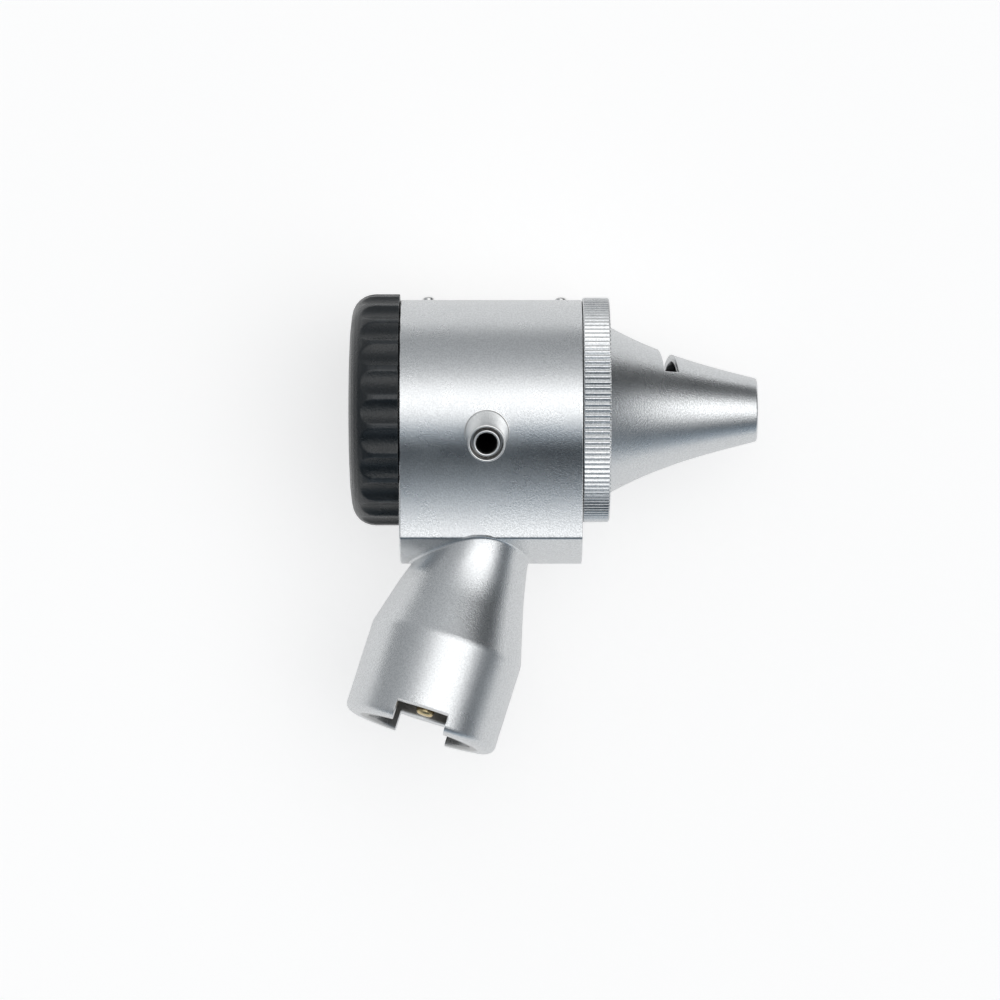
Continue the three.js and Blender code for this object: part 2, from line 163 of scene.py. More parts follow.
def rounded(corners, closed=True, step=None):
    """An outline of straight runs joined by arcs, from (radius, station, rounding) corners.

    An arc touches both runs, so it starts rounding * tan(half the turn) from the corner, and a
    guard point stands just outside it on each run. Only a sharp turn with a small rounding counts
    as an edge. Runs longer than step are divided. Returns the points, and an edge mark that is 1
    on the arcs.
    """
    count = len(corners)
    spots = np.array([corner[:2] for corner in corners], float)
    points = []
    marks = []

    def place(point, mark):
        """Adds a point and its mark."""
        points.append(point)
        marks.append(mark)

    for i, corner in enumerate(corners):
        here = spots[i]
        sides = [spots[i - 1] - here, spots[(i + 1) % count] - here]
        is_end = not closed and i in (0, count - 1)
        lengths = [np.linalg.norm(side) for side in sides]
        opening = 0.0
        if not is_end:
            before, after = (side / length for side, length in zip(sides, lengths))
            opening = math.acos(np.clip(before @ after, -1, 1))
        turn = math.pi - opening
        if is_end or corner[2] == 0 or turn < STRAIGHT:
            place(here, 0.0)
            continue
        neighbours = corners[i - 1], corners[(i + 1) % count]
        room = min(length * (SHARED_RUN if neighbour[2] else WHOLE_RUN)
                   for length, neighbour in zip(lengths, neighbours))
        reach = min(corner[2] * math.tan(turn / 2), room)
        radius = reach / math.tan(turn / 2)
        middle = before + after
        centre = here + middle / np.linalg.norm(middle) * radius / math.cos(turn / 2)
        begin = here + before * reach - centre
        side = np.array([-begin[1], begin[0]])
        if side @ (here + after * reach - centre) < 0:
            side = -side
        steps = max(2, math.ceil(turn / ARC_STEP))
        guard = min((1 + GUARD) * reach, reach + GUARD * mm)
        place(here + before * guard, 0.0)
        for k in range(steps + 1):
            angle = turn * k / steps
            place(centre + begin * math.cos(angle) + side * math.sin(angle),
                  1.0 if turn > WORN_TURN and corner[2] < BROAD else 0.0)
        place(here + after * guard, 0.0)
    if step is None:
        return np.array(points), np.array(marks)
    return divided(np.array(points), np.array(marks), closed, step)


def divided(points, marks, closed, step):
    """The same outline with its runs cut into pieces no longer than step."""
    ends = np.roll(points, -1, axis=0)
    last_marks = np.roll(marks, -1)
    if not closed:
        ends, last_marks = ends[:-1], last_marks[:-1]
    cut = []
    for start, end, first, last in zip(points, ends, marks, last_marks):
        pieces = max(1, math.ceil(np.linalg.norm(end - start) / step))
        share = np.arange(pieces) / pieces
        cut.append((start + share[:, None] * (end - start), first + share * (last - first)))
    if not closed:
        cut.append((points[-1:], marks[-1:]))
    return tuple(np.concatenate(column) for column in zip(*cut))


# %% [markdown]
# ## From a grid of points to a mesh
# A surface that depends on two parameters is a grid: rows run one way and columns the other.
# Where the grid closes on itself, the last row is joined to the first, and where a row shrinks to
# one point on the axis it becomes a pole with a fan of triangles. Everything is worked out as
# whole arrays, and the mesh gets its points and faces in one call each.

# %% Grids into meshes
FLAT_ANGLE = math.radians(40)
POLE_SIZE = 0.0001 * mm


def round_turn(count):
    """Evenly spaced turns once round a line."""
    return np.linspace(0, 2 * math.pi, count, endpoint=False)


def grid_faces(rows, columns, wrap_rows, wrap_columns):
    """The four corner numbers of every cell of a grid."""
    row = np.arange(rows if wrap_rows else rows - 1)
    column = np.arange(columns if wrap_columns else columns - 1)
    row, column = np.meshgrid(row, column, indexing="ij")
    next_row = (row + 1) % rows
    next_column = (column + 1) % columns
    corners = [row * columns + column, row * columns + next_column,
               next_row * columns + next_column, next_row * columns + column]
    return np.stack([corner.ravel() for corner in corners], axis=1)


def face_outwards(mesh):
    """Turns every face round if the closed mesh encloses a negative volume."""
    mesh.calc_loop_triangles()
    spots = spots_of(mesh)
    corners = np.empty(len(mesh.loop_triangles) * 3, np.int64)
    mesh.loop_triangles.foreach_get("vertices", corners)
    a, b, c = (spots[corners.reshape(-1, 3)[:, k]] for k in range(3))
    if np.einsum("ij,ij->i", a, np.cross(b, c)).sum() < 0:
        mesh.flip_normals()


def mesh_object(name, points, faces, edge=None):
    """An object at the origin whose closed mesh faces outwards, with its edge marks."""
    mesh = bpy.data.meshes.new(name)
    mesh.from_pydata(points.reshape(-1, 3).tolist(), [], faces)
    marks = mesh.attributes.new("edge", "FLOAT", "POINT")
    if edge is not None:
        marks.data.foreach_set("value", edge.astype(np.float32).ravel())
    mesh.update()
    face_outwards(mesh)
    mesh.shade_smooth()
    mesh.set_sharp_from_angle(angle=FLAT_ANGLE)
    thing = bpy.data.objects.new(name, mesh)
    bpy.context.scene.collection.objects.link(thing)
    return thing


def surface(name, grid, edge=None, wrap_rows=True, wrap_columns=True):
    """A closed surface from a grid of points. An end row that is one point becomes a pole."""
    rows, columns = grid.shape[:2]
    if edge is None:
        edge = np.zeros((rows, columns))
    is_pole = [not wrap_rows and np.ptp(grid[end], axis=0).max() < POLE_SIZE for end in (0, -1)]
    low = int(is_pole[0])
    high = rows - int(is_pole[1])
    faces = grid_faces(high - low, columns, wrap_rows, wrap_columns).tolist()
    points = grid[low:high].reshape(-1, 3)
    marks = edge[low:high].ravel()
    ring = np.arange(columns)
    following = (ring + 1) % columns
    last_row = (high - low - 1) * columns
    fans = ((0, following, ring), (-1, last_row + ring, last_row + following))
    for needed, (end, one, other) in zip(is_pole, fans):
        if needed:
            pole = np.full(columns, len(points))
            points = np.vstack([points, grid[end, :1]])
            marks = np.append(marks, 0.0)
            faces += np.stack([pole, one, other], axis=1).tolist()
    return mesh_object(name, points, faces, marks)


def turned(name, line, corners, columns=128, step=None, reshape=None):
    """An outline turned about a line: rows follow the rounded outline, columns go round the line.

    reshape(radius, turn, station) may change the radii first, for flutes, knurls and threads.
    """
    on_axis = corners[0][0] == 0 and corners[-1][0] == 0
    outline, marks = rounded(corners, closed=not on_axis, step=step)
    radius, angle = np.meshgrid(outline[:, 0], round_turn(columns), indexing="ij")
    station = np.repeat(outline[:, 1:2], columns, axis=1)
    if reshape is not None:
        radius = reshape(radius, angle, station)
    edge = np.repeat(marks[:, None], columns, axis=1)
    return surface(name, line.points(radius, angle, station), edge, wrap_rows=not on_axis)


# %% [markdown]
# ## Cutting tools
# A slot, a notch and a drilled hole are cuts, on the real head and here. A Boolean modifier takes
# the shape of a tool out of a piece, and is applied at once, so that the tool can be thrown away.

# %% Cuts
def apply_modifiers(thing):
    """Replaces the mesh by what its modifiers make of it."""
    graph = bpy.context.evaluated_depsgraph_get()
    finished = bpy.data.meshes.new_from_object(thing.evaluated_get(graph))
    thing.modifiers.clear()
    old = thing.data
    thing.data = finished
    bpy.data.meshes.remove(old)


def cut_with(thing, cutters, bevel=0.0):
    """Cuts the tools out of a piece, breaks the new edges, and removes the tools."""
    for cutter in cutters:
        boolean = thing.modifiers.new("cut", "BOOLEAN")
        boolean.operation = "DIFFERENCE"
        boolean.solver = "EXACT"
        boolean.object = cutter
    apply_modifiers(thing)
    if bevel:
        edge = thing.modifiers.new("edge", "BEVEL")
        edge.width = bevel
        edge.segments = 2
        edge.limit_method = "ANGLE"
        edge.angle_limit = math.radians(50)
        apply_modifiers(thing)
    for cutter in cutters:
        bpy.data.objects.remove(cutter)
    thing.data.shade_smooth()
    thing.data.set_sharp_from_angle(angle=FLAT_ANGLE)


def block(name, line, low, high, skew=0.0):
    """A box between two corners given as (first, second, along) of a line, skewed about first."""
    along = line.along * math.cos(skew) + line.second * math.sin(skew)
    sides = np.stack([line.first, np.cross(along, line.first), along])
    u, v, w = np.meshgrid(*[[low[k], high[k]] for k in range(3)], indexing="ij")
    corners = np.stack([u.ravel(), v.ravel(), w.ravel()], axis=1) @ sides + line.origin
    faces = [[0, 1, 3, 2], [4, 6, 7, 5], [0, 4, 5, 1], [2, 3, 7, 6], [0, 2, 6, 4], [1, 5, 7, 3]]
    return mesh_object(name, corners, faces)


def drill(name, line, radius, start, end):
    """A plain rod along a line, to cut a round hole with."""
    return turned(name, line, [(0, start, 0), (radius, start, 0), (radius, end, 0), (0, end, 0)], 64)

# %% [markdown]
# ## Effects that several finishes share
# Three things make a real surface look real: a fine grain, slow patches where it was handled, and
# edges rubbed brighter. Each is a node group made once and placed in every finish with its own
# values. The groups only put out numbers that change over the surface, and every pattern is laid
# in object coordinates, in metres, so its scale is the real one.

# %% Node helpers
def feed(tree, value, socket):
    """Links an output to an input socket, or sets the input to a plain value."""
    if isinstance(value, bpy.types.NodeSocket):
        tree.links.new(value, socket)
    else:
        socket.default_value = value


def add_node(tree, kind, feeds=None, **settings):
    """A new node with its settings made, and then its inputs fed."""
    made = tree.nodes.new(kind)
    for name, value in settings.items():
        setattr(made, name, value)
    for name, value in (feeds or {}).items():
        feed(tree, value, made.inputs[name])
    return made


def new_group(name, inputs, outputs):
    """An empty node group with float sockets; inputs maps names to defaults."""
    group = bpy.data.node_groups.new(name, "ShaderNodeTree")
    for socket, default in inputs.items():
        made = group.interface.new_socket(name=socket, in_out="INPUT", socket_type="NodeSocketFloat")
        made.default_value = default
    for socket in outputs:
        group.interface.new_socket(name=socket, in_out="OUTPUT", socket_type="NodeSocketFloat")
    given = add_node(group, "NodeGroupInput").outputs
    return group, given, add_node(group, "NodeGroupOutput").inputs


def noise(tree, scale, detail, roughness=0.5):
    """A noise on object coordinates. Returns the output socket."""
    place = add_node(tree, "ShaderNodeTexCoord").outputs["Object"]
    feeds = {"Vector": place, "Scale": scale, "Detail": detail, "Roughness": roughness}
    return add_node(tree, "ShaderNodeTexNoise", feeds).outputs["Fac"]


def spread(tree, value, low, high, to_low=0.0, to_high=1.0):
    """Maps low..high to to_low..to_high with a smooth start and end. Returns the output socket."""
    feeds = {"Value": value, "From Min": low, "From Max": high, "To Min": to_low, "To Max": to_high}
    return add_node(tree, "ShaderNodeMapRange", feeds, interpolation_type="SMOOTHSTEP").outputs["Result"]


def combine(tree, operation, first, second):
    """A Math node on two sockets or numbers. Returns the output socket."""
    return add_node(tree, "ShaderNodeMath", {0: first, 1: second}, operation=operation).outputs[0]


def blend(tree, share, first, second):
    """A Mix node between two colours, its inputs 6 and 7. Returns the colour output, its third."""
    feeds = {0: share, 6: first, 7: second}
    return add_node(tree, "ShaderNodeMix", feeds, data_type="RGBA").outputs[2]


# %% The shared effects
def make_grain():
    """Two noises, one nearly four times finer, added: the pits that glass beads or a mould leave."""
    group, given, result = new_group("grain", {"Scale": 6000.0}, ["Height", "Speckle"])
    coarse = noise(group, given["Scale"], detail=1.0)
    fine = noise(group, combine(group, "MULTIPLY", given["Scale"], 3.7), detail=0.0)
    height = combine(group, "ADD", coarse, combine(group, "MULTIPLY", fine, 0.5))
    feed(group, height, result["Height"])
    feed(group, spread(group, coarse, 0.3, 0.7), result["Speckle"])
    return group


def make_handling():
    """A slow noise between two values: patches where fingers and wipes have changed the surface."""
    group, given, result = new_group("handling", {"Scale": 120.0, "Low": 0.0, "High": 1.0}, ["Value"])
    slow = noise(group, given["Scale"], detail=4.0, roughness=0.6)
    feed(group, spread(group, slow, 0.35, 0.65, given["Low"], given["High"]), result["Value"])
    return group


def make_wear_and_bore_shade():
    """The piece's edge mark, broken up by a noise and scaled: how much an edge has been rubbed.

    The mark is negative inside a bore, which comes out as the second mask, for painted shade there.
    """
    group, given, result = new_group("wear_and_bore_shade", {"Amount": 0.5, "Scale": 900.0}, ["Mask", "Inside"])
    mark = add_node(group, "ShaderNodeAttribute", attribute_name="edge").outputs["Fac"]
    broken = spread(group, noise(group, given["Scale"], detail=3.0), 0.3, 0.6, 0.35, 1.0)
    mask = combine(group, "MAXIMUM", combine(group, "MULTIPLY", mark, broken), 0.0)
    feed(group, combine(group, "MULTIPLY", mask, given["Amount"]), result["Mask"])
    inside = combine(group, "MAXIMUM", combine(group, "MULTIPLY", mark, -1.0), 0.0)
    feed(group, inside, result["Inside"])
    return group


effects = {"grain": make_grain(), "handling": make_handling(), "wear_and_bore_shade": make_wear_and_bore_shade()}
print("shared effects:", ", ".join(effects))


# %% [markdown]
# ## One recipe for a worn surface
# Metal, plastic and rubber differ in their numbers rather than in their parts: a base colour, a
# rubbed colour for the edges, a roughness that wanders between two values, and a grain of a given
# size and depth. One function lays these out around a Principled shader, and each finish but glass
# calls it.

# %% The recipe
# Painted shade: a warm dark colour laid where ambient occlusion finds surfaces close together, and in bores.
CREVICE_SHADE_REACH = 3.0 * mm
CREVICE_SHADE_COLOR = (0.1, 0.088, 0.076)
BORE_SHADE_SHARE = 0.55
PIT_SHADE = 2.5
PIT_SHARE = 0.6


def painted_crevice_shade(tree, color, amount, inside):
    """Painted shade: darkens and warms a colour in bores and where surfaces stand close. Returns the socket.
    """
    if amount == 0:
        return color
    near = add_node(tree, "ShaderNodeAmbientOcclusion", {"Distance": CREVICE_SHADE_REACH}, samples=8)
    closed = spread(tree, near.outputs["AO"], 0.05, 0.4, amount, 0.0)
    closed = combine(tree, "MAXIMUM", closed, combine(tree, "MULTIPLY", inside, BORE_SHADE_SHARE * amount))
    return blend(tree, closed, color, (*CREVICE_SHADE_COLOR, 1))


def principled(name, feeds):
    """A new material with its Principled shader's inputs fed. Returns it, its tree and the shader."""
    made = bpy.data.materials.new(name)
    made.use_nodes = True
    shader = made.node_tree.nodes["Principled BSDF"]
    for socket, value in feeds.items():
        feed(made.node_tree, value, shader.inputs[socket])
    return made, made.node_tree, shader.inputs


def effect(tree, name, **feeds):
    """A shared effect placed in a material, with this material's values. Returns its outputs."""
    return add_node(tree, "ShaderNodeGroup", feeds, node_tree=effects[name]).outputs


def worn_surface(name, color, rubbed, rough, rubbed_rough, metallic=0.0, grain=0.15, depth=0.002,
                 patch=8.0, wear=0.5, speckle=0.05, crevice_shade=0.0, **constants):
    """A Principled material. grain, depth and patch are in millimetres; constants are sockets.

    The crevice amount is how far the colour falls, as painted shade, where the surface is closed in and
    inside bores.
    """
    made, tree, shader = principled(name, {"Metallic": metallic, **constants})
    pits = effect(tree, "grain", Scale=1 / (grain * mm))
    hands = effect(tree, "handling", Scale=1 / (patch * mm), Low=rough[0], High=rough[1])
    rub = effect(tree, "wear_and_bore_shade", Amount=wear)

    pitted = [channel * (1 - PIT_SHADE * speckle) for channel in color]
    pit_share = combine(tree, "MULTIPLY", pits["Speckle"], PIT_SHARE)
    shade = blend(tree, pit_share, (*color, 1), (*pitted, 1))
    worn = blend(tree, rub["Mask"], shade, (*rubbed, 1))
    # Painted shade: the colour darkens and warms in crevices and bores.
    feed(tree, painted_crevice_shade(tree, worn, crevice_shade, rub["Inside"]), shader["Base Color"])
    roughness = spread(tree, rub["Mask"], 0.0, 1.0, hands["Value"], rubbed_rough)
    feed(tree, roughness, shader["Roughness"])
    feeds = {"Strength": 1.0, "Distance": depth * mm, "Height": pits["Height"]}
    feed(tree, add_node(tree, "ShaderNodeBump", feeds).outputs["Normal"], shader["Normal"])
    return made


# %% [markdown]
# ## The finishes
# The body, neck, ring and nose are bead blasted and plated in a satin silver, a little cool in
# colour. The nipple, screws and threads are bright nickel. The cap is black moulded plastic with a
# soft sheen, and the inside of the optical tunnel is matt black so that it doesn't glare.

# %% Metals
def tint(slot, factor=1.0):
    """A slot's base colour from the record, made lighter or darker."""
    found = next(item for item in record["materials"] if item["slot"] == slot)
    return [min(1.0, channel * factor) for channel in found["base_color"][:3]]


# The two plated metals take painted shade in their crevices and bores.
finishes = {
    "satin_silver": worn_surface(
        "satin_silver", tint("satin_silver", 1.06), (0.93, 0.935, 0.94), (0.25, 0.3), 0.2,
        metallic=1.0, grain=0.2, depth=0.013, patch=9.0, wear=0.4, speckle=0.1, crevice_shade=0.9),
    "bright_metal": worn_surface(
        "bright_nickel", tint("bright_metal"), (0.9, 0.9, 0.89), (0.17, 0.24), 0.12,
        metallic=1.0, grain=0.2, depth=0.0006, patch=3.0, wear=0.6, speckle=0.02, crevice_shade=0.9),
    "brass": worn_surface(
        "lamp_brass", tint("brass"), tint("brass", 1.25), (0.24, 0.36), 0.2,
        metallic=1.0, grain=0.2, depth=0.001, patch=1.5, wear=0.7, speckle=0.06),
    "tungsten": worn_surface(
        "filament_wire", tint("tungsten"), tint("tungsten", 1.2), (0.35, 0.5), 0.3,
        metallic=1.0, grain=0.05, depth=0.001, patch=0.5, wear=0.2, speckle=0.08),
    "black_anodised": worn_surface(
        "black_anodised", tint("black_anodised"), (0.11, 0.11, 0.115), (0.5, 0.62), 0.4,
        metallic=0.35, grain=0.12, depth=0.0025, patch=5.0, wear=0.35, speckle=0.1),
}

# %% Plastics, rubber and sheath
finishes["black_plastic"] = worn_surface(
    "moulded_black", np.array(tint("black_plastic", 0.45)) * (0.88, 1.0, 1.12),
    (0.032, 0.037, 0.042), (0.24, 0.34), 0.24,
    grain=0.3, depth=0.035, patch=4.0, wear=0.8, speckle=0.2, IOR=1.52)
finishes["rubber"] = worn_surface(
    "black_rubber", tint("rubber"), (0.04, 0.04, 0.04), (0.55, 0.7), 0.5,
    grain=0.1, depth=0.003, patch=2.0, wear=0.4, speckle=0.1)
finishes["insulator"] = worn_surface(
    "brown_insulator", tint("insulator"), tint("insulator", 1.5), (0.3, 0.45), 0.3,
    grain=0.15, depth=0.002, patch=1.0, wear=0.5, speckle=0.12)
finishes["fibre_sheath"] = worn_surface(
    "fibre_sheath", tint("fibre_sheath"), (0.07, 0.07, 0.075), (0.42, 0.55), 0.4,
    grain=0.08, depth=0.004, patch=1.5, wear=0.4, speckle=0.1)


# %% [markdown]
# ## Clear glass
# The magnifying lens and the lamp's envelope are clear glass. The Principled shader does that with
# full transmission and the index of crown glass. The roughness wanders a little, as it does on
# glass that is wiped with a cloth.

# %% Glass
def make_glass():
    """Clear glass with a few wiping marks."""
    constants = {"Transmission Weight": 1.0, "Metallic": 0.0, "IOR": 1.52}
    made, tree, shader = principled("crown_glass", {"Base Color": (*tint("clear_glass"), 1), **constants})
    hands = effect(tree, "handling", Scale=250.0, Low=0.01, High=0.05)
    feed(tree, hands["Value"], shader["Roughness"])
    return made


finishes["clear_glass"] = make_glass()
print("finishes:", ", ".join(sorted(finishes)))


# %% [markdown]
# ## Putting a piece in its node's place
# A finished piece rides on the body of the node that it stands for, hides that node, and takes the
# finish of the node's material slot. The frame knows all of this, so one function does it.

# %% Placing pieces
def stands_for(piece, node):
    """The piece takes the place, body and finish of a CAD node."""
    slot = slot_of[node]
    piece.data.materials.clear()
    piece.data.materials.append(finishes[slot])
    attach(piece, frame["nodes"][node]["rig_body"])
    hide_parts(node)
    print(piece.name, "stands for", node + ":", len(piece.data.polygons), "faces")
    return piece

# %% [markdown]
# ## The body: a round top, hollow flanks and a narrow foot
# The body is a short length of one section: an arc about the optical axis, two hollow flanks that
# sweep in below it, and a gently round foot. It could be drawn by hand as a curve, but arcs with
# known centres meet smoothly and are easy to check. The sharp corner of the foot is broken by a
# small arc that touches both its neighbours, found where two circles cross.

# %% The section's arcs
shell_rear, shell_front, shell_bore, _ = optics.reach("head_shell")
shell_low, shell_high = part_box("head_shell")
shell_radius = shell_high.z - optical_height
foot_depth = optical_height - shell_low.z
flank_radius = 28.0 * mm
flank_start = math.radians(32.5)
flank_lean = math.radians(10.0)
foot_corner = 0.5 * mm
flank_centre = (shell_radius + flank_radius) * np.array([math.cos(flank_start), -math.sin(flank_start)])
foot_edge = flank_centre + flank_radius * np.array([-math.cos(flank_lean), math.sin(flank_lean)])
foot_sag = foot_depth + foot_edge[1]
foot_radius = (foot_edge[0] ** 2 + foot_sag ** 2) / (2 * foot_sag)
foot_centre = np.array([0.0, foot_radius - foot_depth])


def circles_cross(first, first_radius, second, second_radius):
    """The lower point where two circles cross, from the triangle of their centres."""
    between = second - first
    distance = np.linalg.norm(between)
    along = (first_radius ** 2 - second_radius ** 2 + distance ** 2) / (2 * distance)
    height = math.sqrt(first_radius ** 2 - along ** 2)
    middle = first + between / distance * along
    square = np.array([-between[1], between[0]]) / distance
    return min(middle + square * height, middle - square * height, key=lambda point: point[1])


def arc(centre, radius, start, end, step):
    """Points on a circle between two angles, about step apart, without the last one."""
    count = max(3, math.ceil(abs(end - start) * radius / step))
    angle = np.linspace(start, end, count, endpoint=False)
    return centre + radius * np.stack([np.cos(angle), np.sin(angle)], axis=1)


def body_section(step):
    """The right half of the section, from the top to the bottom, then its mirror image."""
    corner = circles_cross(flank_centre, flank_radius + foot_corner, foot_centre, foot_radius - foot_corner)
    to_flank = math.atan2(*(flank_centre - corner)[::-1])
    to_foot = math.atan2(*(corner - foot_centre)[::-1])
    half = np.concatenate([
        arc(np.zeros(2), shell_radius, math.pi / 2, -flank_start, step),
        arc(flank_centre, flank_radius, math.pi - flank_start, math.pi + to_flank, step),
        arc(corner, foot_corner, to_flank, to_foot, step / 5),
        arc(foot_centre, foot_radius, to_foot, -math.pi / 2, step),
    ])
    bottom = np.array([[0.0, -foot_depth]])
    mirrored = half[:0:-1] * np.array([-1, 1])
    return np.concatenate([half, bottom, mirrored])


section = body_section(0.35 * mm)
print("section points:", len(section), "foot radius", round(foot_radius / mm, 2), "mm")


# %% [markdown]
# The section is carried along the optical axis, and pulled in along its own normal where the two
# ends are rounded. The bore closes the grid on itself, so the body is one watertight wall.

# %% The body
def across_and_up(flat, station):
    """Section points (across, up) at a station: x is the station, y across, z up."""
    return np.stack([np.broadcast_to(station, flat.shape[:-1]), -flat[..., 0],
                     flat[..., 1] + optical_height], axis=-1)


def shell_body():
    """The outer section pulled in by each profile row, closed by the bore's circle.

    A profile row is (station, pull): the outer point is section - pull * normal.
    """
    tangent = np.roll(section, -1, axis=0) - np.roll(section, 1, axis=0)
    normal = np.stack([-tangent[:, 1], tangent[:, 0]], axis=1)
    normal = normal / np.linalg.norm(normal, axis=1)[:, None]
    rear_round = 0.22 * mm
    front_round = 0.12 * mm
    bore_break = 0.2 * mm
    pull_end = 0.4 * mm
    bore_lip = 0.6 * mm
    profile, marks = rounded([
        (pull_end, shell_rear, 0), (0, shell_rear, rear_round),
        (0, shell_front, front_round), (pull_end, shell_front, 0),
    ], closed=False, step=0.8 * mm)
    outer = section - profile[:, 0, None, None] * normal
    rows = across_and_up(outer, profile[:, 1, None])
    direction = section / np.linalg.norm(section, axis=1)[:, None]
    bore, bore_marks = rounded([
        (shell_bore + bore_lip, shell_front, 0), (shell_bore, shell_front, bore_break),
        (shell_bore, shell_rear, bore_break), (shell_bore + bore_lip, shell_rear, 0),
    ], closed=False, step=1.2 * mm)
    inner = across_and_up(bore[:, 0, None, None] * direction, bore[:, 1, None])
    edge = np.repeat(np.concatenate([marks, bore_marks])[:, None], len(section), axis=1)
    return surface("silver_body", np.concatenate([rows, inner]), edge)


silver_body = shell_body()

# %% [markdown]
# The body is drilled where the nipple and the two screws go in, and bored from below where the
# neck's union comes up.

# %% Holes in the body
union_start, union_end, _, union_radius = neck.reach("neck_union")
_, port_root, port_bore, port_base = port.reach("insufflation_port")
clear = 0.3 * mm
port_wall = 1.0 * mm
port_hole_depth = 8.0 * mm
screw_hole = 0.6 * mm
beyond = 2.0 * mm


def upright(node):
    """The line straight up through a small node."""
    low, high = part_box(node)
    return Line(((low.x + high.x) / 2, 0, 0), (0, 0, 1), (1, 0, 0))


screw_lines = {node: upright(node) for node in ("rear_screw", "front_screw")}
holes = [drill("port_drill", port, port_bore + port_wall, port_root - port_hole_depth, port_root + beyond),
         drill("union_drill", neck, union_radius + clear, union_start, union_end + clear)]
for node, line in screw_lines.items():
    low, high, _, _ = line.reach(node)
    holes.append(drill("screw_drill", line, screw_hole, low, high + mm))
cut_with(silver_body, holes)
stands_for(silver_body, "head_shell")


# %% [markdown]
# ## Where a turned stem lands on a round surface
# The neck meets the foot, and the nipple meets the body, along a curve that isn't flat. A brazed
# joint leaves a small hollow fillet all along it. A ball that rolls in the corner gives it
# exactly: its centre lies on both surfaces grown by the ball's radius, which is a quadratic
# equation for each column, and the fillet is the arc between its two touching points.

# %% A rolling-ball fillet
def rolling_ball(line, radius, slope, host_centre, host_radius, ball, turn, steps=8):
    """The fillet between the cone radius + slope * station and a cylinder along X.

    Returns the arc's points, one row for each step, from the cone to the cylinder, and the
    stations where it starts. ball may differ from column to column.
    """
    slope = np.broadcast_to(slope, turn.shape)
    lean = np.sqrt(1 + slope ** 2)
    out = line.outwards(turn)
    grown = radius + ball * lean
    start = (line.origin + grown[:, None] * out)[:, 1:] - host_centre
    move = line.along[1:] + slope[:, None] * out[:, 1:]
    a = np.einsum("ij,ij->i", move, move)
    b = np.einsum("ij,ij->i", start, move)
    c = np.einsum("ij,ij->i", start, start) - (host_radius + ball) ** 2
    station = (-b - np.sqrt(b * b - a * c)) / a
    centre = line.points(grown + slope * station, turn, station)
    cone_normal = (out - slope[:, None] * line.along) / lean[:, None]
    host_normal = centre - np.array([0, *host_centre])
    host_normal[:, 0] = 0
    host_normal = host_normal / np.linalg.norm(host_normal, axis=1)[:, None]
    angle = np.arccos(np.clip(np.einsum("ij,ij->i", cone_normal, host_normal), -1, 1))
    share = np.linspace(0, 1, steps)[:, None]
    swing = (np.sin((1 - share) * angle) / np.sin(angle))[..., None] * cone_normal
    swing = swing + (np.sin(share * angle) / np.sin(angle))[..., None] * host_normal
    start_station = station + ball * slope / lean
    return centre - ball[:, None] * swing, start_station, host_normal


# %% A stem that lands on a cylinder
def landed(name, line, profile, columns, cone, host, rows, sunk, start=0.0):
    """A rounded outline turned about a line, then a cone, the fillet, and a rim sunk in the host.

    profile is (points, edge marks), cone(station, turn) gives the cone's radius and its slope, and
    host is (centre, radius, ball). A flared cone's slope depends on where the fillet starts, so
    the fillet is found five times, each time from the start before.
    """
    outline, marks = profile
    turn = round_turn(columns)
    lower = line.points(*np.broadcast_arrays(outline[:, :1], turn, outline[:, 1:]))
    centre, radius, ball = host
    start = np.full(columns, start)
    for _ in range(5):
        cone_here, slope = cone(start, turn)
        fillet, start, normal = rolling_ball(line, cone_here - slope * start, slope, centre, radius, ball,
                                             turn)
    share = np.linspace(0, 1, rows)[1:-1, None]
    rise = outline[-1, 1] + share * (start - outline[-1, 1])
    stem = line.points(cone(rise, turn)[0], np.broadcast_to(turn, rise.shape), rise)
    grid = np.concatenate([lower, stem, fillet, fillet[-1:] - sunk * normal])
    edge = np.zeros(grid.shape[:2])
    edge[:len(marks)] = marks[:, None]
    return surface(name, grid, edge)


# %% [markdown]
# ## The neck
# The neck is a straight barrel with a soft shoulder, and above it a cone that flares a little where
# it lands on the foot. Two notches across its mouth key it to the handle, and a groove inside holds
# the spring ring.

# %% The neck's dimensions
_, _, _, neck_radius = neck.reach("neck_shell")
neck_bore = 6.7 * mm
neck_edge = 1.1 * mm
neck_shoulder = 11.75 * mm
neck_taper = math.tan(math.radians(15.3))
lamp_bore = 5.0 * mm
lamp_bore_start = 7.8 * mm
spring_groove = (5.8 * mm, 7.0 * mm)
groove_depth = 0.75 * mm
notch_width = 6.6 * mm
notch_depth = 2.45 * mm
flare_start = 17.0 * mm
flare_radius = 17.0 * mm
shoulder_round = 2.5 * mm
above_shoulder = 1.5 * mm
union_seat = 4.5 * mm
least_fillet = 0.34  # mm, where the cone doesn't flare
flare_fillet = 0.1  # mm more, where it flares fully
landing_guess = 22.0 * mm
neck_sunk = 0.3 * mm


def neck_flare(turn):
    """How much the cone flares near the foot: fully at the front and back, less to the sides."""
    sideways = np.sin(turn)
    return 1 - np.where(sideways > 0, 0.75, 1.7) * sideways ** 2


def neck_cone(station, turn):
    """A straight taper, plus the square of the distance past the flare's start over twice its radius.

    Returns the radius, and the slope: how fast the radius changes with the station.
    """
    past = np.clip(station - flare_start, 0, None)
    straight = neck_radius - neck_taper * (station - neck_shoulder)
    flare = neck_flare(turn)
    return straight + flare * past ** 2 / (2 * flare_radius), flare * past / flare_radius - neck_taper


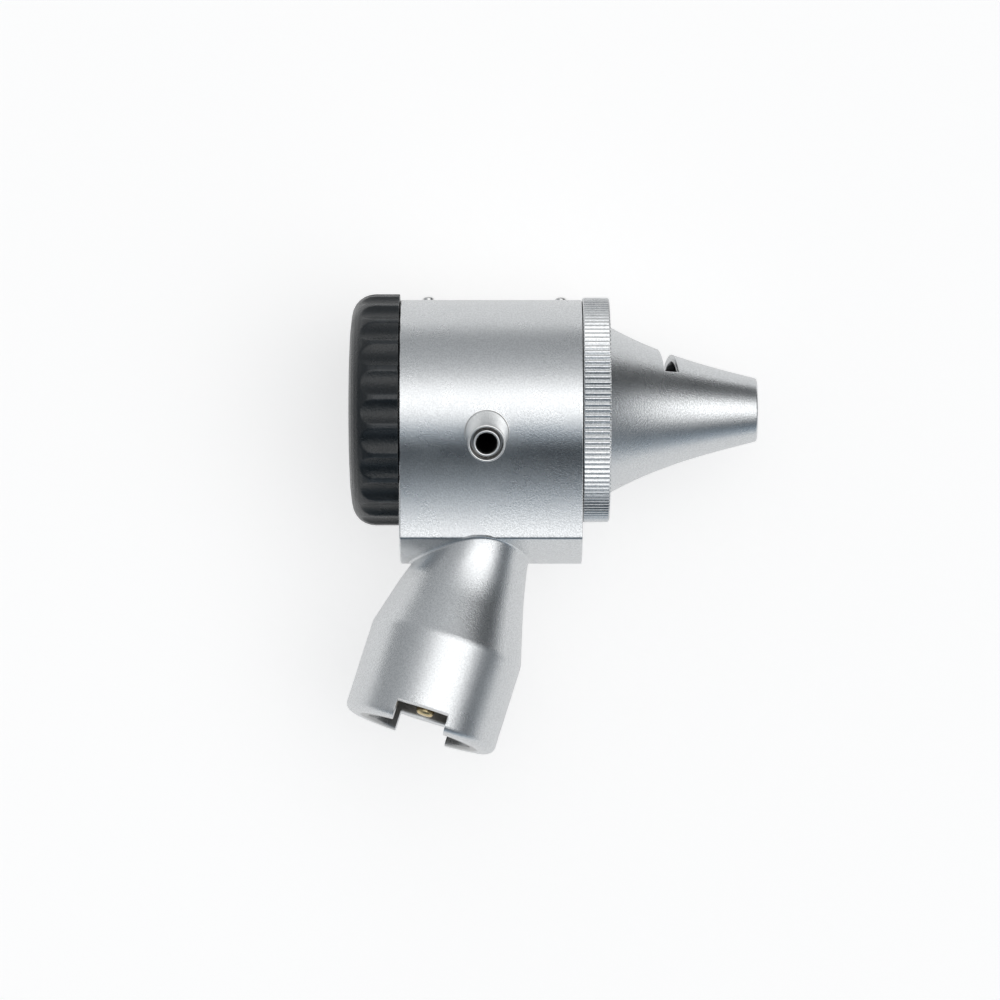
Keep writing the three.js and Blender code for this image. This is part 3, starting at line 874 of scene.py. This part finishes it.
def neck_body(columns=256):
    """Fixed rows up to the shoulder, then rows that run up the cone to the fillet on the foot."""
    top_bore = union_radius + clear
    outline, marks = rounded([
        (top_bore, union_end - union_seat, 0), (top_bore, union_start, EDGE),
        (lamp_bore, union_start, EDGE), (lamp_bore, lamp_bore_start, 0.2 * mm),
        (neck_bore, lamp_bore_start, EDGE), (neck_bore, spring_groove[1], EDGE),
        (neck_bore + groove_depth, spring_groove[1], EDGE),
        (neck_bore + groove_depth, spring_groove[0], EDGE),
        (neck_bore, spring_groove[0], EDGE), (neck_bore, 0, 0.35 * mm),
        (neck_radius, 0, neck_edge), (neck_radius, neck_shoulder, shoulder_round),
        (neck_radius - neck_taper * above_shoulder, neck_shoulder + above_shoulder, 0),
    ], closed=False, step=0.5 * mm)
    # Rows in the bore get a negative edge mark, which the silver finish turns into painted shade.
    is_bore = outline[:, 0] < neck_bore + groove_depth + 0.1 * mm
    ball = (least_fillet + flare_fillet * neck_flare(round_turn(columns))) * mm
    foot = (np.array([0.0, optical_height + foot_centre[1]]), foot_radius, ball)
    profile = (outline, np.where(is_bore, -1.0, marks))
    return landed("neck_barrel", neck, profile, columns, neck_cone, foot, 26, neck_sunk, landing_guess)


neck_barrel = neck_body()
notch_reach = neck_radius + 2 * mm
cut_with(neck_barrel, [block("notch_tool", neck, (-notch_reach, -notch_width / 2, -notch_depth),
                             (notch_reach, notch_width / 2, notch_depth))], bevel=0.09 * mm)
stands_for(neck_barrel, "neck_shell")


# %% [markdown]
# ## The air nipple
# A rubber bulb's tube pushes on this short tapered nipple. It stands square to the body, a little
# below the middle of the near side, with a rounded bright rim and a counterbored hole.

# %% The nipple
NIPPLE_FLARE = 0.92


def nipple(columns=96):
    """A tapered stem from its rim down to a fillet on the round body, hollow all through."""
    tip_radius = 2.36 * mm
    rim_radius = 2.04 * mm
    lip_radius = 1.66 * mm
    groove_floor = 1.6 * mm
    slope = (NIPPLE_FLARE * port_base - tip_radius) / (port_reach - shell_radius)
    profile = rounded([
        (port_bore, 7.2 * mm, 0), (port_bore, 0.45 * mm, SOFT_EDGE),
        (port_bore + 0.2 * mm, 0.1 * mm, SOFT_EDGE), (lip_radius, 0.1 * mm, SOFT_EDGE),
        (lip_radius, groove_floor, FINE_EDGE), (rim_radius, groove_floor, FINE_EDGE),
        (rim_radius, 0, 0.13 * mm), (tip_radius - 0.02 * mm, 0, 0.2 * mm),
        (tip_radius + 0.9 * mm * slope, 0.9 * mm, 0),
    ], closed=False, step=0.4 * mm)
    shell = (np.array([0.0, optical_height]), shell_radius, np.full(columns, 0.12 * mm))

    def stem(station, turn):
        """A plain cone: the radius, and the same slope all along."""
        return tip_radius + slope * station, slope

    return landed("air_nipple", port, profile, columns, stem, shell, 14, sunk=0.25 * mm)


stands_for(nipple(), "insufflation_port")


# %% [markdown]
# ## Collar screws
# Two small screws through the top of the body hold the threaded collars. Their heads are low
# domes with a driver slot.

# %% The screws
def collar_screw(name, node, head_radius=0.8 * mm):
    """A shank with a domed, slotted head, standing on the body's top."""
    line = screw_lines[node]
    low, high, _, _ = line.reach(node)
    top = optical_height + shell_radius
    dome = high - top
    screw = turned(name, line, [
        (0, low, 0), (0.45 * mm, low, EDGE), (0.45 * mm, top - 0.05 * mm, 0),
        (head_radius, top - 0.05 * mm, 0.02 * mm), (head_radius * 0.96, high - 0.35 * dome, 0.2 * mm),
        (head_radius * 0.55, high - 0.04 * dome, 0.5 * mm), (0, high, 0),
    ], columns=48, step=0.3 * mm)
    half_slot = 0.11 * mm
    tool = block("driver", line, (-head_radius, -half_slot, high - 0.45 * dome),
                 (head_radius, half_slot, high + dome))
    cut_with(screw, [tool])
    return stands_for(screw, node)


collar_screw("rear_collar_screw", "rear_screw")
collar_screw("front_collar_screw", "front_screw")


# %% [markdown]
# ## Threads
# The cap and the clamp ring screw on to collars. A thread is a ridge that climbs by one pitch for
# each turn, so its height depends on the station less the climb at that turn.

# %% A thread
THREAD_BAND = 0.1 * mm


def threaded(crest, start, end, pitch, depth):
    """A reshape function: radius falls by depth * (half + half cosine) of the phase on a helix."""
    def reshape(radius, turn, station):
        """The radius less the groove's depth, on the threaded stretch only."""
        phase = 2 * math.pi * station / pitch - turn
        groove = depth * (0.5 + 0.5 * np.cos(phase))
        on_thread = (radius > crest - THREAD_BAND) & (radius < crest + THREAD_BAND)
        on_thread &= (station > start) & (station < end)
        return np.where(on_thread, radius - groove, radius)
    return reshape


# %% The two collars
collar_radius = shell_bore - clear
collar_bore = 10.2 * mm
cap_pitch = 0.75 * mm
cap_thread_depth = 0.3 * mm
ring_pitch = 0.5 * mm
ring_thread_depth = 0.18 * mm
rear_start, rear_end, _, cap_thread = optics.reach("rear_collar")
rear_shoulder = shell_rear - clear
rear_thread = threaded(cap_thread, rear_start + SOFT_EDGE, rear_shoulder - EDGE, cap_pitch, cap_thread_depth)
stands_for(turned("cap_collar", optics, [
    (collar_bore, rear_start, SOFT_EDGE), (cap_thread, rear_start, 2 * EDGE),
    (cap_thread, rear_shoulder, EDGE), (collar_radius, rear_shoulder, FINE_EDGE),
    (collar_radius, rear_end, EDGE), (collar_bore, rear_end, SOFT_EDGE),
], columns=192, step=0.09 * mm, reshape=rear_thread), "rear_collar")

front_start, front_end, front_bore, ring_thread = optics.reach("front_collar")
front_wall = 17.6 * mm
front_shoulder = shell_front + clear
front_thread = threaded(ring_thread, front_shoulder, front_end - EDGE, ring_pitch, ring_thread_depth)
front_collar = turned("ring_collar", optics, [
    (collar_bore, front_start, EDGE), (collar_radius, front_start, EDGE),
    (collar_radius, front_shoulder, FINE_EDGE), (ring_thread, front_shoulder, FINE_EDGE),
    (ring_thread, front_end, EDGE), (front_bore, front_end, SOFT_EDGE),
    (front_bore, front_wall, EDGE), (collar_bore, front_wall, 2 * EDGE),
], columns=192, step=0.15 * mm, reshape=front_thread)
pipe_depth = 8.9 * mm
pipe_hole = 1.25 * mm
pipe_line = Line((0, 0, optical_height - pipe_depth), (1, 0, 0), (0, 0, 1))
cut_with(front_collar, [drill("pipe_drill", pipe_line, pipe_hole, front_wall - mm, front_end + mm)])
stands_for(front_collar, "front_collar")


# %% [markdown]
# ## The viewing tunnel
# A thin black tube keeps stray light from the lamp out of the doctor's view. A flange at the rear
# holds it in the collar.

# %% The tunnel
tunnel_rear, tunnel_front, tunnel_bore, tunnel_flange = optics.reach("viewing_tube")
tunnel_radius = 7.4 * mm
flange_end = tunnel_rear + 0.8 * mm
tunnel = turned("viewing_tunnel", optics, [
    (tunnel_bore, tunnel_rear, SOFT_EDGE), (tunnel_flange, tunnel_rear, EDGE),
    (tunnel_flange, flange_end, EDGE), (tunnel_radius, flange_end, EDGE),
    (tunnel_radius, tunnel_front, EDGE), (tunnel_bore, tunnel_front, EDGE),
], columns=128, step=1.0 * mm)
cut_with(tunnel, [drill("air_drill", port, port_bore, 6.0 * mm, port_reach - 5.0 * mm)])
stands_for(tunnel, "viewing_tube")

# %% [markdown]
# ## The knurled clamp ring
# Fingers turn this ring to free the nose cone, so its rim is cut with fine straight knurls that
# run out in a chamfer at both ends. Each tooth is round on top, so it always shows one bright line.

# %% The ring
ring_rear, ring_front, ring_lip, ring_radius = optics.reach("clamp_ring")
knurl_count = 128
knurl_depth = 0.24 * mm
knurl_sharpness = 1.5
ring_lip_back = 23.3 * mm
ring_bore = ring_thread + clear


def rub_crests(piece, line, low, high):
    """Raises the edge mark from 0 at radius low to 1 at radius high, where fingers rub."""
    _, radius = line.measure(piece.data)
    edge = piece.data.attributes["edge"].data
    marks = np.empty(len(radius), np.float32)
    edge.foreach_get("value", marks)
    crest = np.clip((radius - low) / (high - low), 0, 1)
    edge.foreach_set("value", np.maximum(marks, crest).astype(np.float32))


def knurled(radius, turn, station):
    """radius less depth * wave: a raised cosine to a power, for round crests and narrow grooves."""
    wave = (0.5 + 0.5 * np.cos(knurl_count * turn)) ** knurl_sharpness
    full = np.clip((radius - (ring_radius - knurl_depth)) / knurl_depth, 0, 1)
    return radius - knurl_depth * wave * full


chamfer = 0.22 * mm
ring_back = ring_rear - 0.2 * mm
knurled_ring = turned("knurled_ring", optics, [
    (ring_bore, ring_back, EDGE), (ring_radius - chamfer, ring_back, FINE_EDGE),
    (ring_radius, ring_back + 0.6 * chamfer, FINE_EDGE),
    (ring_radius, ring_front - 0.8 * chamfer, FINE_EDGE),
    (ring_radius - chamfer, ring_front, EDGE), (ring_lip, ring_front, 0.25 * mm),
    (ring_lip, ring_lip_back, EDGE), (ring_bore, ring_lip_back, EDGE),
], columns=knurl_count * 6, step=0.25 * mm, reshape=knurled)
rub_crests(knurled_ring, optics, ring_radius - knurl_depth, ring_radius)
stands_for(knurled_ring, "clamp_ring")


# %% [markdown]
# ## The nose cone
# The ear tips push on this cone. Its side isn't straight: it flares like a horn towards the ring.
# A slot sawn across the top catches the tip's bayonet lug. A flange behind it sits under the
# ring's lip, and carries a soft seal.

# %% The cone
nose_rear, nose_front, _, nose_flange = optics.reach("nose_cone")
nose_tip = 4.0 * mm
nose_taper = 0.25
nose_flare = 0.000292 / mm ** 2
nose_wall = 0.9 * mm
nose_flange_front = ring_lip_back - clear
slot_station = 30.95 * mm
slot_half = 0.95 * mm
slot_floor = 3.85 * mm
slot_skew = math.radians(-9.0)


def horn(station):
    """The cone's radius: tip + taper * distance + flare * distance cubed, from the tip back."""
    distance = nose_front - station
    return nose_tip + nose_taper * distance + nose_flare * distance ** 3


def nose_body():
    """The horn outside, the same curve a wall's thickness in, a rounded tip and a flange."""
    seal_groove = (10.35 * mm, 11.55 * mm, nose_rear + 0.65 * mm)
    along = np.linspace(nose_flange_front, nose_front - 0.5 * mm, 48)
    outside = [(horn(station), station, 0) for station in along[1:]]
    inside = [(horn(station) - nose_wall, station, 0) for station in along[::-1]]
    corners = [
        (horn(nose_flange_front) - nose_wall, nose_rear, EDGE),
        (seal_groove[0], nose_rear, FINE_EDGE), (seal_groove[0], seal_groove[2], FINE_EDGE),
        (seal_groove[1], seal_groove[2], FINE_EDGE), (seal_groove[1], nose_rear, FINE_EDGE),
        (nose_flange, nose_rear, EDGE), (nose_flange, nose_flange_front, EDGE),
        (horn(nose_flange_front), nose_flange_front, SOFT_EDGE), *outside,
        (nose_tip, nose_front, 0.3 * mm), (nose_tip - nose_wall, nose_front, 0.25 * mm), *inside,
    ]
    return turned("nose_horn", optics, corners, columns=192)


nose_horn = nose_body()
saw = Line((slot_station, 0, optical_height), optics.along, (0, 0, 1))
cut_with(nose_horn, [block("saw", saw, (slot_floor, -15 * mm, -slot_half),
                           (15 * mm, 15 * mm, slot_half), slot_skew)], bevel=0.07 * mm)
stands_for(nose_horn, "nose_cone")


# %% [markdown]
# ## Soft rings
# An O-ring is a circle carried round a circle. Two of them seal and quieten the joints.

# %% O-rings
def o_ring(name, node, line):
    """A torus between the node's least and greatest radius."""
    low, high, inner, outer = line.reach(node)
    wire = (outer - inner) / 2
    tube, angle = np.meshgrid(round_turn(24), round_turn(160), indexing="ij")
    radius = (inner + outer) / 2 + wire * np.cos(tube)
    station = (low + high) / 2 + wire * np.sin(tube)
    return stands_for(surface(name, line.points(radius, angle, station)), node)


o_ring("nose_o_ring", "nose_seal", optics)
o_ring("cap_o_ring", "cap_seal", optics)


# %% [markdown]
# ## The magnifier cap
# The black cap screws over the rear collar and holds the lens. It is moulded with twenty-five
# scooped flutes for a grip. They start with a rounded end behind the smooth rear band, and run out
# through the front rim, which they leave wavy. Each flute is the near side of a cylinder, laid a
# little outside the rim, so its floor at any turn comes from one circle's equation.

# %% The cap's flutes
_, _, cap_window, cap_radius = optics.reach("lens_cap")
cap_bore = cap_thread + 0.35 * mm
flute_count = 25
flute_radius = 2.6 * mm
flute_depth = 0.6 * mm
flute_start = -7.75 * mm
flute_run_in = 1.0 * mm
flute_soft = 0.09 * mm


def fluted(radius, turn, station):
    """The least of the radius and the flute's circle, with the edge between them softened."""
    pitch = 2 * math.pi / flute_count
    off = (turn + pitch / 2) % pitch - pitch / 2
    run_in = np.clip((station - flute_start) / flute_run_in, 0, 1)
    depth = flute_depth * np.sqrt(1 - (1 - run_in) ** 2)
    centre = cap_radius + flute_radius - depth
    inside = np.clip(flute_radius ** 2 - (centre * np.sin(off)) ** 2, 0, None)
    floor = centre * np.cos(off) - np.sqrt(inside)
    floor = np.where(inside > 0, floor, cap_radius + 5 * flute_depth)
    middle = (radius + floor) / 2
    least = middle - np.sqrt(((radius - floor) / 2) ** 2 + flute_soft ** 2) + flute_soft
    least = np.minimum(least, radius)
    outside = (station > flute_start) & (radius > cap_bore + 0.4 * mm)
    return np.where(outside, least, radius)


# %% The cap
cap_step = rear_start - clear
cap_rim = shell_rear - 0.08 * mm
lens_start, _, _, lens_radius = optics.reach("lens")
lens_bore = lens_radius + clear
cap_ledge = -8.1 * mm
groove = (10.6 * mm, 12.2 * mm, cap_step - 1.1 * mm)
crown_round = 3.0 * mm
crown_top = -8.78 * mm
crown_middle = -8.69 * mm
crown_edge = -8.2 * mm

magnifier_cap = turned("magnifier_cap", optics, [
    (cap_window, cap_ledge, EDGE), (cap_window + 0.25 * mm, crown_top, 0.25 * mm),
    (groove[0], crown_middle, 0), (cap_radius, crown_edge, crown_round),
    (cap_radius, cap_rim - mm, 0), (cap_radius, cap_rim, EDGE),
    (cap_bore, cap_rim, 0.2 * mm), (cap_bore, cap_step, EDGE),
    (groove[1], cap_step, EDGE), (groove[1], groove[2], EDGE),
    (groove[0], groove[2], EDGE), (groove[0], cap_step, EDGE),
    (lens_bore, cap_step, EDGE), (lens_bore, cap_ledge, EDGE),
], columns=flute_count * 24, step=0.2 * mm, reshape=fluted)
rubbed_depth = 0.12 * mm
rub_crests(magnifier_cap, optics, cap_radius - rubbed_depth, cap_radius)
stands_for(magnifier_cap, "lens_cap")


# %% [markdown]
# ## The lens and its fittings
# The magnifier is a plano-convex lens. Its round side is part of a sphere, so its rise falls with
# the square of the radius. A soft gasket and a black ring hold it against the cap's ledge.

# %% The lens
def lens_body():
    """A flat front, a cylindrical edge, and a domed rear face with rise * (1 - (r / R) squared)."""
    edge_rear = cap_ledge + clear
    edge_thickness = 0.8 * mm
    edge_front = edge_rear + edge_thickness
    rise = edge_rear - lens_start
    share = np.linspace(0, 1, 24)
    dome = [(lens_radius * s, edge_rear - rise * (1 - s ** 2), 0) for s in share[:-1]]
    return turned("magnifier_lens", optics, [
        *dome, (lens_radius, edge_rear, 0.06 * mm), (lens_radius, edge_front, 0.08 * mm), (0, edge_front, 0),
    ], columns=96)


def plain_ring(name, node, line, break_edge=0.08 * mm):
    """A ring with broken edges between the node's own stations and radii."""
    low, high, inner, outer = line.reach(node)
    corners = [(inner, low), (outer, low), (outer, high), (inner, high)]
    return stands_for(turned(name, line, [(*corner, break_edge) for corner in corners], 160, mm), node)


stands_for(lens_body(), "lens")
plain_ring("lens_cushion", "lens_gasket", optics)
plain_ring("lens_ring", "lens_retainer", optics)


# %% [markdown]
# ## Inside the neck
# Light comes up the neck: from a small halogen lamp, into a bundle of fibres that runs under the
# tunnel to the nose. A steel union joins neck and body, a brass ferrule holds the fibres, and a
# brass socket grips the lamp.

# %% Union, ferrule and socket
plain_ring("union_sleeve", "neck_union", neck, SOFT_EDGE)
plain_ring("fibre_ferrule", "guide_ferrule", neck, SOFT_EDGE)
plain_ring("lamp_sleeve", "lamp_socket", neck, SOFT_EDGE)


# %% [markdown]
# A wire is a circle carried along a path. At each point the circle stands square to the path, and
# its start direction is slid along from point to point so that the wire doesn't twist. The ends
# shrink to a point, which leaves them rounded.

# %% Wires
def smooth_path(points, steps=10):
    """A Catmull-Rom curve through the points: each stretch's ends have the neighbours' slope."""
    points = np.array(points, float)
    padded = np.vstack([2 * points[0] - points[1], points, 2 * points[-1] - points[-2]])
    share = (np.arange(steps) / steps)[:, None]
    stretches = []
    for before, start, end, after in zip(padded, padded[1:], padded[2:], padded[3:]):
        cubic = -before + 3 * start - 3 * end + after
        square = 2 * before - 5 * start + 4 * end - after
        stretches.append(start + 0.5 * share * (end - before + share * (square + share * cubic)))
    return np.vstack([*stretches, points[-1:]])


def wire(name, path, radius, sides=24, end_round=0.4):
    """A round wire along a path, closed at both ends by domed caps."""
    tangent = np.gradient(path, axis=0)
    tangent = tangent / np.linalg.norm(tangent, axis=1)[:, None]
    side = np.cross(tangent[0], [0.3, 0.9, 0.2])
    sides_along = []
    for direction in tangent:
        side = side - direction * (side @ direction)
        side = side / np.linalg.norm(side)
        sides_along.append(side)
    first = np.array(sides_along)
    second = np.cross(tangent, first)
    quarter = np.linspace(0, math.pi / 2, 5)
    lift = np.sin(quarter)
    shrink = np.cos(quarter)
    bulge = end_round * radius
    path = np.vstack([path[0] - tangent[0] * bulge * lift[::-1, None], path[1:-1],
                      path[-1] + tangent[-1] * bulge * lift[:, None]])
    size = radius * np.concatenate([shrink[::-1], np.ones(len(tangent) - 2), shrink])
    repeats = [5] + [1] * (len(tangent) - 2) + [5]
    first, second = (np.repeat(across, repeats, axis=0) for across in (first, second))
    turn = round_turn(sides)[None, :, None]
    ring = np.cos(turn) * first[:, None] + np.sin(turn) * second[:, None]
    return surface(name, path[:, None] + size[:, None, None] * ring, wrap_rows=False)


# %% The light pipe
def from_neck(station):
    """A point on the neck's axis, from a station in millimetres."""
    return neck.origin + station * mm * neck.along


def from_optics(station, down):
    """A point below the optical axis, from distances in millimetres."""
    return np.array([station * mm, 0, optical_height - down * mm])


pipe_radius = 0.95 * mm
pipe_path = smooth_path([
    *[from_neck(station) for station in (18.1, 22.5, 28.0)],
    *[from_optics(station, down) for station, down in (
        (10.8, 9.6), (13.4, 8.9), (17.0, 8.9), (21.0, 8.9), (24.5, 8.1), (30.7, 5.6), (36.0, 3.5))],
])
stands_for(wire("fibre_bundle", pipe_path, pipe_radius, end_round=0.15), "light_pipe")

# %% The spring ring
spring_low, spring_high, spring_inner, spring_outer = neck.reach("grip_spring")
spring_wire = (spring_high - spring_low) / 2
spring_gap = math.radians(20)
spring_turn = np.linspace(spring_gap, 2 * math.pi - spring_gap, 120)
spring_radius = np.full(spring_turn.shape, (spring_inner + spring_outer) / 2)
spring_station = np.full(spring_turn.shape, (spring_low + spring_high) / 2)
spring_line = Line(neck.origin, neck.along, np.cross((0, 1, 0), neck.along))
spring_path = spring_line.points(spring_radius, spring_turn, spring_station)
stands_for(wire("spring_ring", spring_path, spring_wire, end_round=0.8), "grip_spring")


# %% [markdown]
# ## The lamp
# The lamp is a brass barrel with a locating flange, a moulded insulator with a centre contact
# below, and a glass envelope above with its filament inside. It slides out of the mouth to be
# changed.

# %% Lamp barrel, insulator and contact
lamp_low, lamp_high, _, lamp_flange = neck.reach("lamp_base")
lamp_radius = 3.6 * mm
flange_low = lamp_low + 1.5 * mm
flange_high = flange_low + 0.9 * mm
stands_for(turned("lamp_barrel", neck, [
    (0, lamp_low, 0), (lamp_radius, lamp_low, 0.3 * mm), (lamp_radius, flange_low, EDGE),
    (lamp_flange, flange_low, SOFT_EDGE), (lamp_flange, flange_high, SOFT_EDGE),
    (lamp_radius, flange_high, EDGE), (lamp_radius, lamp_high, 0.25 * mm), (0, lamp_high, 0),
], columns=96, step=0.5 * mm), "lamp_base")

collar_low, collar_high, _, collar_outer = neck.reach("lamp_insulator")
stands_for(turned("lamp_collar", neck, [
    (0, collar_low, 0), (collar_outer - 0.2 * mm, collar_low, 0.5 * mm),
    (collar_outer, collar_high, EDGE), (0, collar_high, 0),
], columns=96, step=0.3 * mm), "lamp_insulator")

contact_low, contact_high, _, contact_radius = neck.reach("lamp_contact")
stands_for(turned("lamp_pin", neck, [
    (0, contact_low, 0), (contact_radius, contact_low, 0.75 * mm),
    (contact_radius, contact_high, FINE_EDGE), (0, contact_high, 0),
], columns=64, step=0.2 * mm), "lamp_contact")

# %% Envelope and filament
glass_low, glass_high, _, glass_radius = neck.reach("lamp_glass")
glass_wall = 0.45 * mm
stands_for(turned("lamp_envelope", neck, [
    (glass_radius - glass_wall, glass_low, FINE_EDGE), (glass_radius, glass_low, EDGE),
    (glass_radius, glass_high - 0.35 * mm, 1.3 * mm), (0, glass_high, 0),
    (0, glass_high - 1.2 * mm, 0), (glass_radius - glass_wall, glass_high - 1.35 * mm, 0.6 * mm),
], columns=96, step=0.4 * mm), "lamp_glass")

filament_low = glass_low
filament_top = glass_low + 1.75 * mm
stands_for(wire("lamp_filament_wire", smooth_path([
    neck.points(np.array(side * mm), np.array(0.0), np.array(height)) for side, height in (
        (-0.8, filament_low), (-0.8, filament_low + 1.1 * mm), (-0.4, filament_top),
        (0.4, filament_top), (0.8, filament_low + 1.1 * mm), (0.8, filament_low))
]), 0.1 * mm, sides=12), "lamp_filament")

# %% [markdown]
# ## The studio
# The head lies on a plain white sheet, seen square on from in front and a little below, so the
# sheet is the floor of this scene and stands upright behind the head. It has one side only: from
# behind it is clear, so that the head can be looked at from every side.

# %% Camera
view_drop = math.radians(-8.8)
view_distance = 571 * mm
view_target = Vector((10.24, 0.0, 29.6)) * mm
to_camera = Vector((0, -math.cos(view_drop), math.sin(view_drop)))
upwards = Vector((0, math.sin(view_drop), math.cos(view_drop)))

camera_data = bpy.data.cameras.new("camera")
camera_data.lens = 161.9
camera_data.sensor_width = 36.0
camera = bpy.data.objects.new("camera", camera_data)
camera.location = view_target + to_camera * view_distance
camera.rotation_euler = to_camera.to_track_quat("Z", "Y").to_euler()
camera_data.clip_start = 0.01
bpy.context.scene.collection.objects.link(camera)
bpy.context.scene.camera = camera


# %% The sheet
glow_in_mirrors = 0.42
glow_seen = 0.6


def make_sheet(behind=17.8 * mm, half=0.6):
    """A large plane square to the view, behind the head, with a material that shows one side."""
    centre = view_target - to_camera * behind
    sideways = Vector((1, 0, 0))
    corners = [centre + sideways * half * a + upwards * half * b
               for a, b in ((-1, -1), (1, -1), (1, 1), (-1, 1))]
    mesh = bpy.data.meshes.new("sheet")
    mesh.from_pydata(corners, [], [(0, 1, 2, 3)])
    sheet = bpy.data.objects.new("sheet", mesh)
    bpy.context.scene.collection.objects.link(sheet)
    paper, tree, shader = principled("white_paper", {
        "Base Color": (0.62, 0.618, 0.615, 1), "Roughness": 0.9, "Specular IOR Level": 0.1,
        "Emission Color": (1, 0.995, 0.99, 1)})
    seen = add_node(tree, "ShaderNodeLightPath").outputs["Is Camera Ray"]
    feed(tree, spread(tree, seen, 0.0, 1.0, glow_in_mirrors, glow_seen), shader["Emission Strength"])
    side = add_node(tree, "ShaderNodeNewGeometry").outputs["Backfacing"]
    clear_side = add_node(tree, "ShaderNodeBsdfTransparent").outputs[0]
    paper_side = tree.nodes["Principled BSDF"].outputs[0]
    mix = add_node(tree, "ShaderNodeMixShader", {0: side, 1: paper_side, 2: clear_side})
    feed(tree, mix.outputs[0], tree.nodes["Material Output"].inputs["Surface"])
    mesh.materials.append(paper)


make_sheet()

# %% [markdown]
# ## Soft light all round
# Satin metal is seen only by what it reflects, so the light is designed as a panorama. A broad
# soft box stands behind the camera and a little to its right, the ceiling and the left wall are a
# middle grey, and below the camera and far to the right the room is dark, which draws the dark
# bands along the metal. Each side's brightness is a list of (degrees away from the camera,
# brightness), and a direction blends the four lists by how far it leans each way. Darker parts are
# a little bluer. One more soft dark patch hangs high on the right, and the camera itself sees
# plain white.

# %% The panorama
dark_coolness = {"above": 0.06, "right": 0.1, "below": 0.28, "left": 0.06}
sides_of_room = {
    "above": [(0, 1.75), (16, 1.7), (26, 1.15), (36, 0.72), (50, 0.52), (75, 0.46), (95, 0.5),
              (117, 0.6), (150, 0.7)],
    "right": [(0, 1.75), (34, 1.8), (45, 1.1), (54, 0.42), (62, 0.13), (74, 0.13), (84, 0.32),
              (96, 0.56), (112, 0.7), (150, 0.8)],
    "below": [(0, 1.75), (8, 1.2), (16, 0.8), (23, 0.4), (30, 0.17), (36, 0.04), (44, 0.01),
              (52, 0.02), (60, 0.1), (68, 0.24), (80, 0.42), (95, 0.72), (125, 0.8)],
    "left": [(0, 1.75), (5, 1.2), (14, 0.85), (24, 0.6), (36, 0.46), (60, 0.36), (85, 0.34),
             (97, 0.42), (112, 0.56), (150, 0.8)],
}
shade_towards = (0.66, 0.74, 0.1)
shade_inner = math.radians(14)
shade_outer = math.radians(48)
shade_strength = 0.78


def ramp_of(tree, position, stops, coolness):
    """A colour ramp through stops given in degrees from the camera, bluer where it is darker."""
    ramp = add_node(tree, "ShaderNodeValToRGB", {"Fac": position})
    elements = ramp.color_ramp.elements
    while len(elements) < len(stops):
        elements.new(0.5)
    for element, (angle, _) in zip(elements, stops):
        element.position = angle / 180
    for element, (_, brightness) in zip(elements, stops):
        cool = coolness * max(0.0, 1 - brightness)
        element.color = (brightness * (1 - cool), brightness, brightness * (1 + cool), 1)
    return ramp.outputs["Color"]


def vector_math(tree, operation, feeds, output="Vector"):
    """A Vector Math node. Returns the output socket."""
    return add_node(tree, "ShaderNodeVectorMath", feeds, operation=operation).outputs[output]


def lean(tree, direction, axis):
    """How far a direction leans along an axis: their dot product."""
    return vector_math(tree, "DOT_PRODUCT", {0: direction, 1: axis}, "Value")


def make_panorama():
    """World colour: the sum of the four ramps, each weighted by its squared share of the lean."""
    world = bpy.data.worlds.new("studio")
    bpy.context.scene.world = world
    world.use_nodes = True
    tree = world.node_tree
    place = add_node(tree, "ShaderNodeTexCoord").outputs["Generated"]
    angle = combine(tree, "ARCCOSINE", lean(tree, place, to_camera), 0.0)
    position = combine(tree, "DIVIDE", angle, math.pi)
    leans = {axis: lean(tree, place, way) for axis, way in (("up", upwards), ("right", (1, 0, 0)))}
    squares = {axis: combine(tree, "MULTIPLY", socket, socket) for axis, socket in leans.items()}
    both = combine(tree, "MAXIMUM", combine(tree, "ADD", squares["up"], squares["right"]), 1e-6)
    total = None
    for side, axis, sign in (("above", "up", 1), ("below", "up", -1), ("right", "right", 1),
                             ("left", "right", -1)):
        is_side = combine(tree, "GREATER_THAN", combine(tree, "MULTIPLY", leans[axis], sign), 0.0)
        weight = combine(tree, "MULTIPLY", combine(tree, "DIVIDE", squares[axis], both), is_side)
        ramp = ramp_of(tree, position, sides_of_room[side], dark_coolness[side])
        part = vector_math(tree, "SCALE", {0: ramp, "Scale": weight})
        total = part if total is None else vector_math(tree, "ADD", {0: total, 1: part})
    middle = np.array(Vector((1, 0, 0)) * shade_towards[0] + upwards * shade_towards[1]
                      + to_camera * shade_towards[2])
    near_shade = lean(tree, place, middle / np.linalg.norm(middle))
    kept = spread(tree, near_shade, math.cos(shade_outer), math.cos(shade_inner), 1.0,
                  1.0 - shade_strength)
    shaded = vector_math(tree, "SCALE", {0: total, "Scale": kept})
    seen = add_node(tree, "ShaderNodeLightPath").outputs["Is Camera Ray"]
    background = tree.nodes["Background"].inputs
    feed(tree, blend(tree, seen, shaded, (1.0, 1.0, 1.0, 1)), background["Color"])
    feed(tree, 1.0, background["Strength"])


make_panorama()
bpy.context.scene.view_settings.view_transform = "Standard"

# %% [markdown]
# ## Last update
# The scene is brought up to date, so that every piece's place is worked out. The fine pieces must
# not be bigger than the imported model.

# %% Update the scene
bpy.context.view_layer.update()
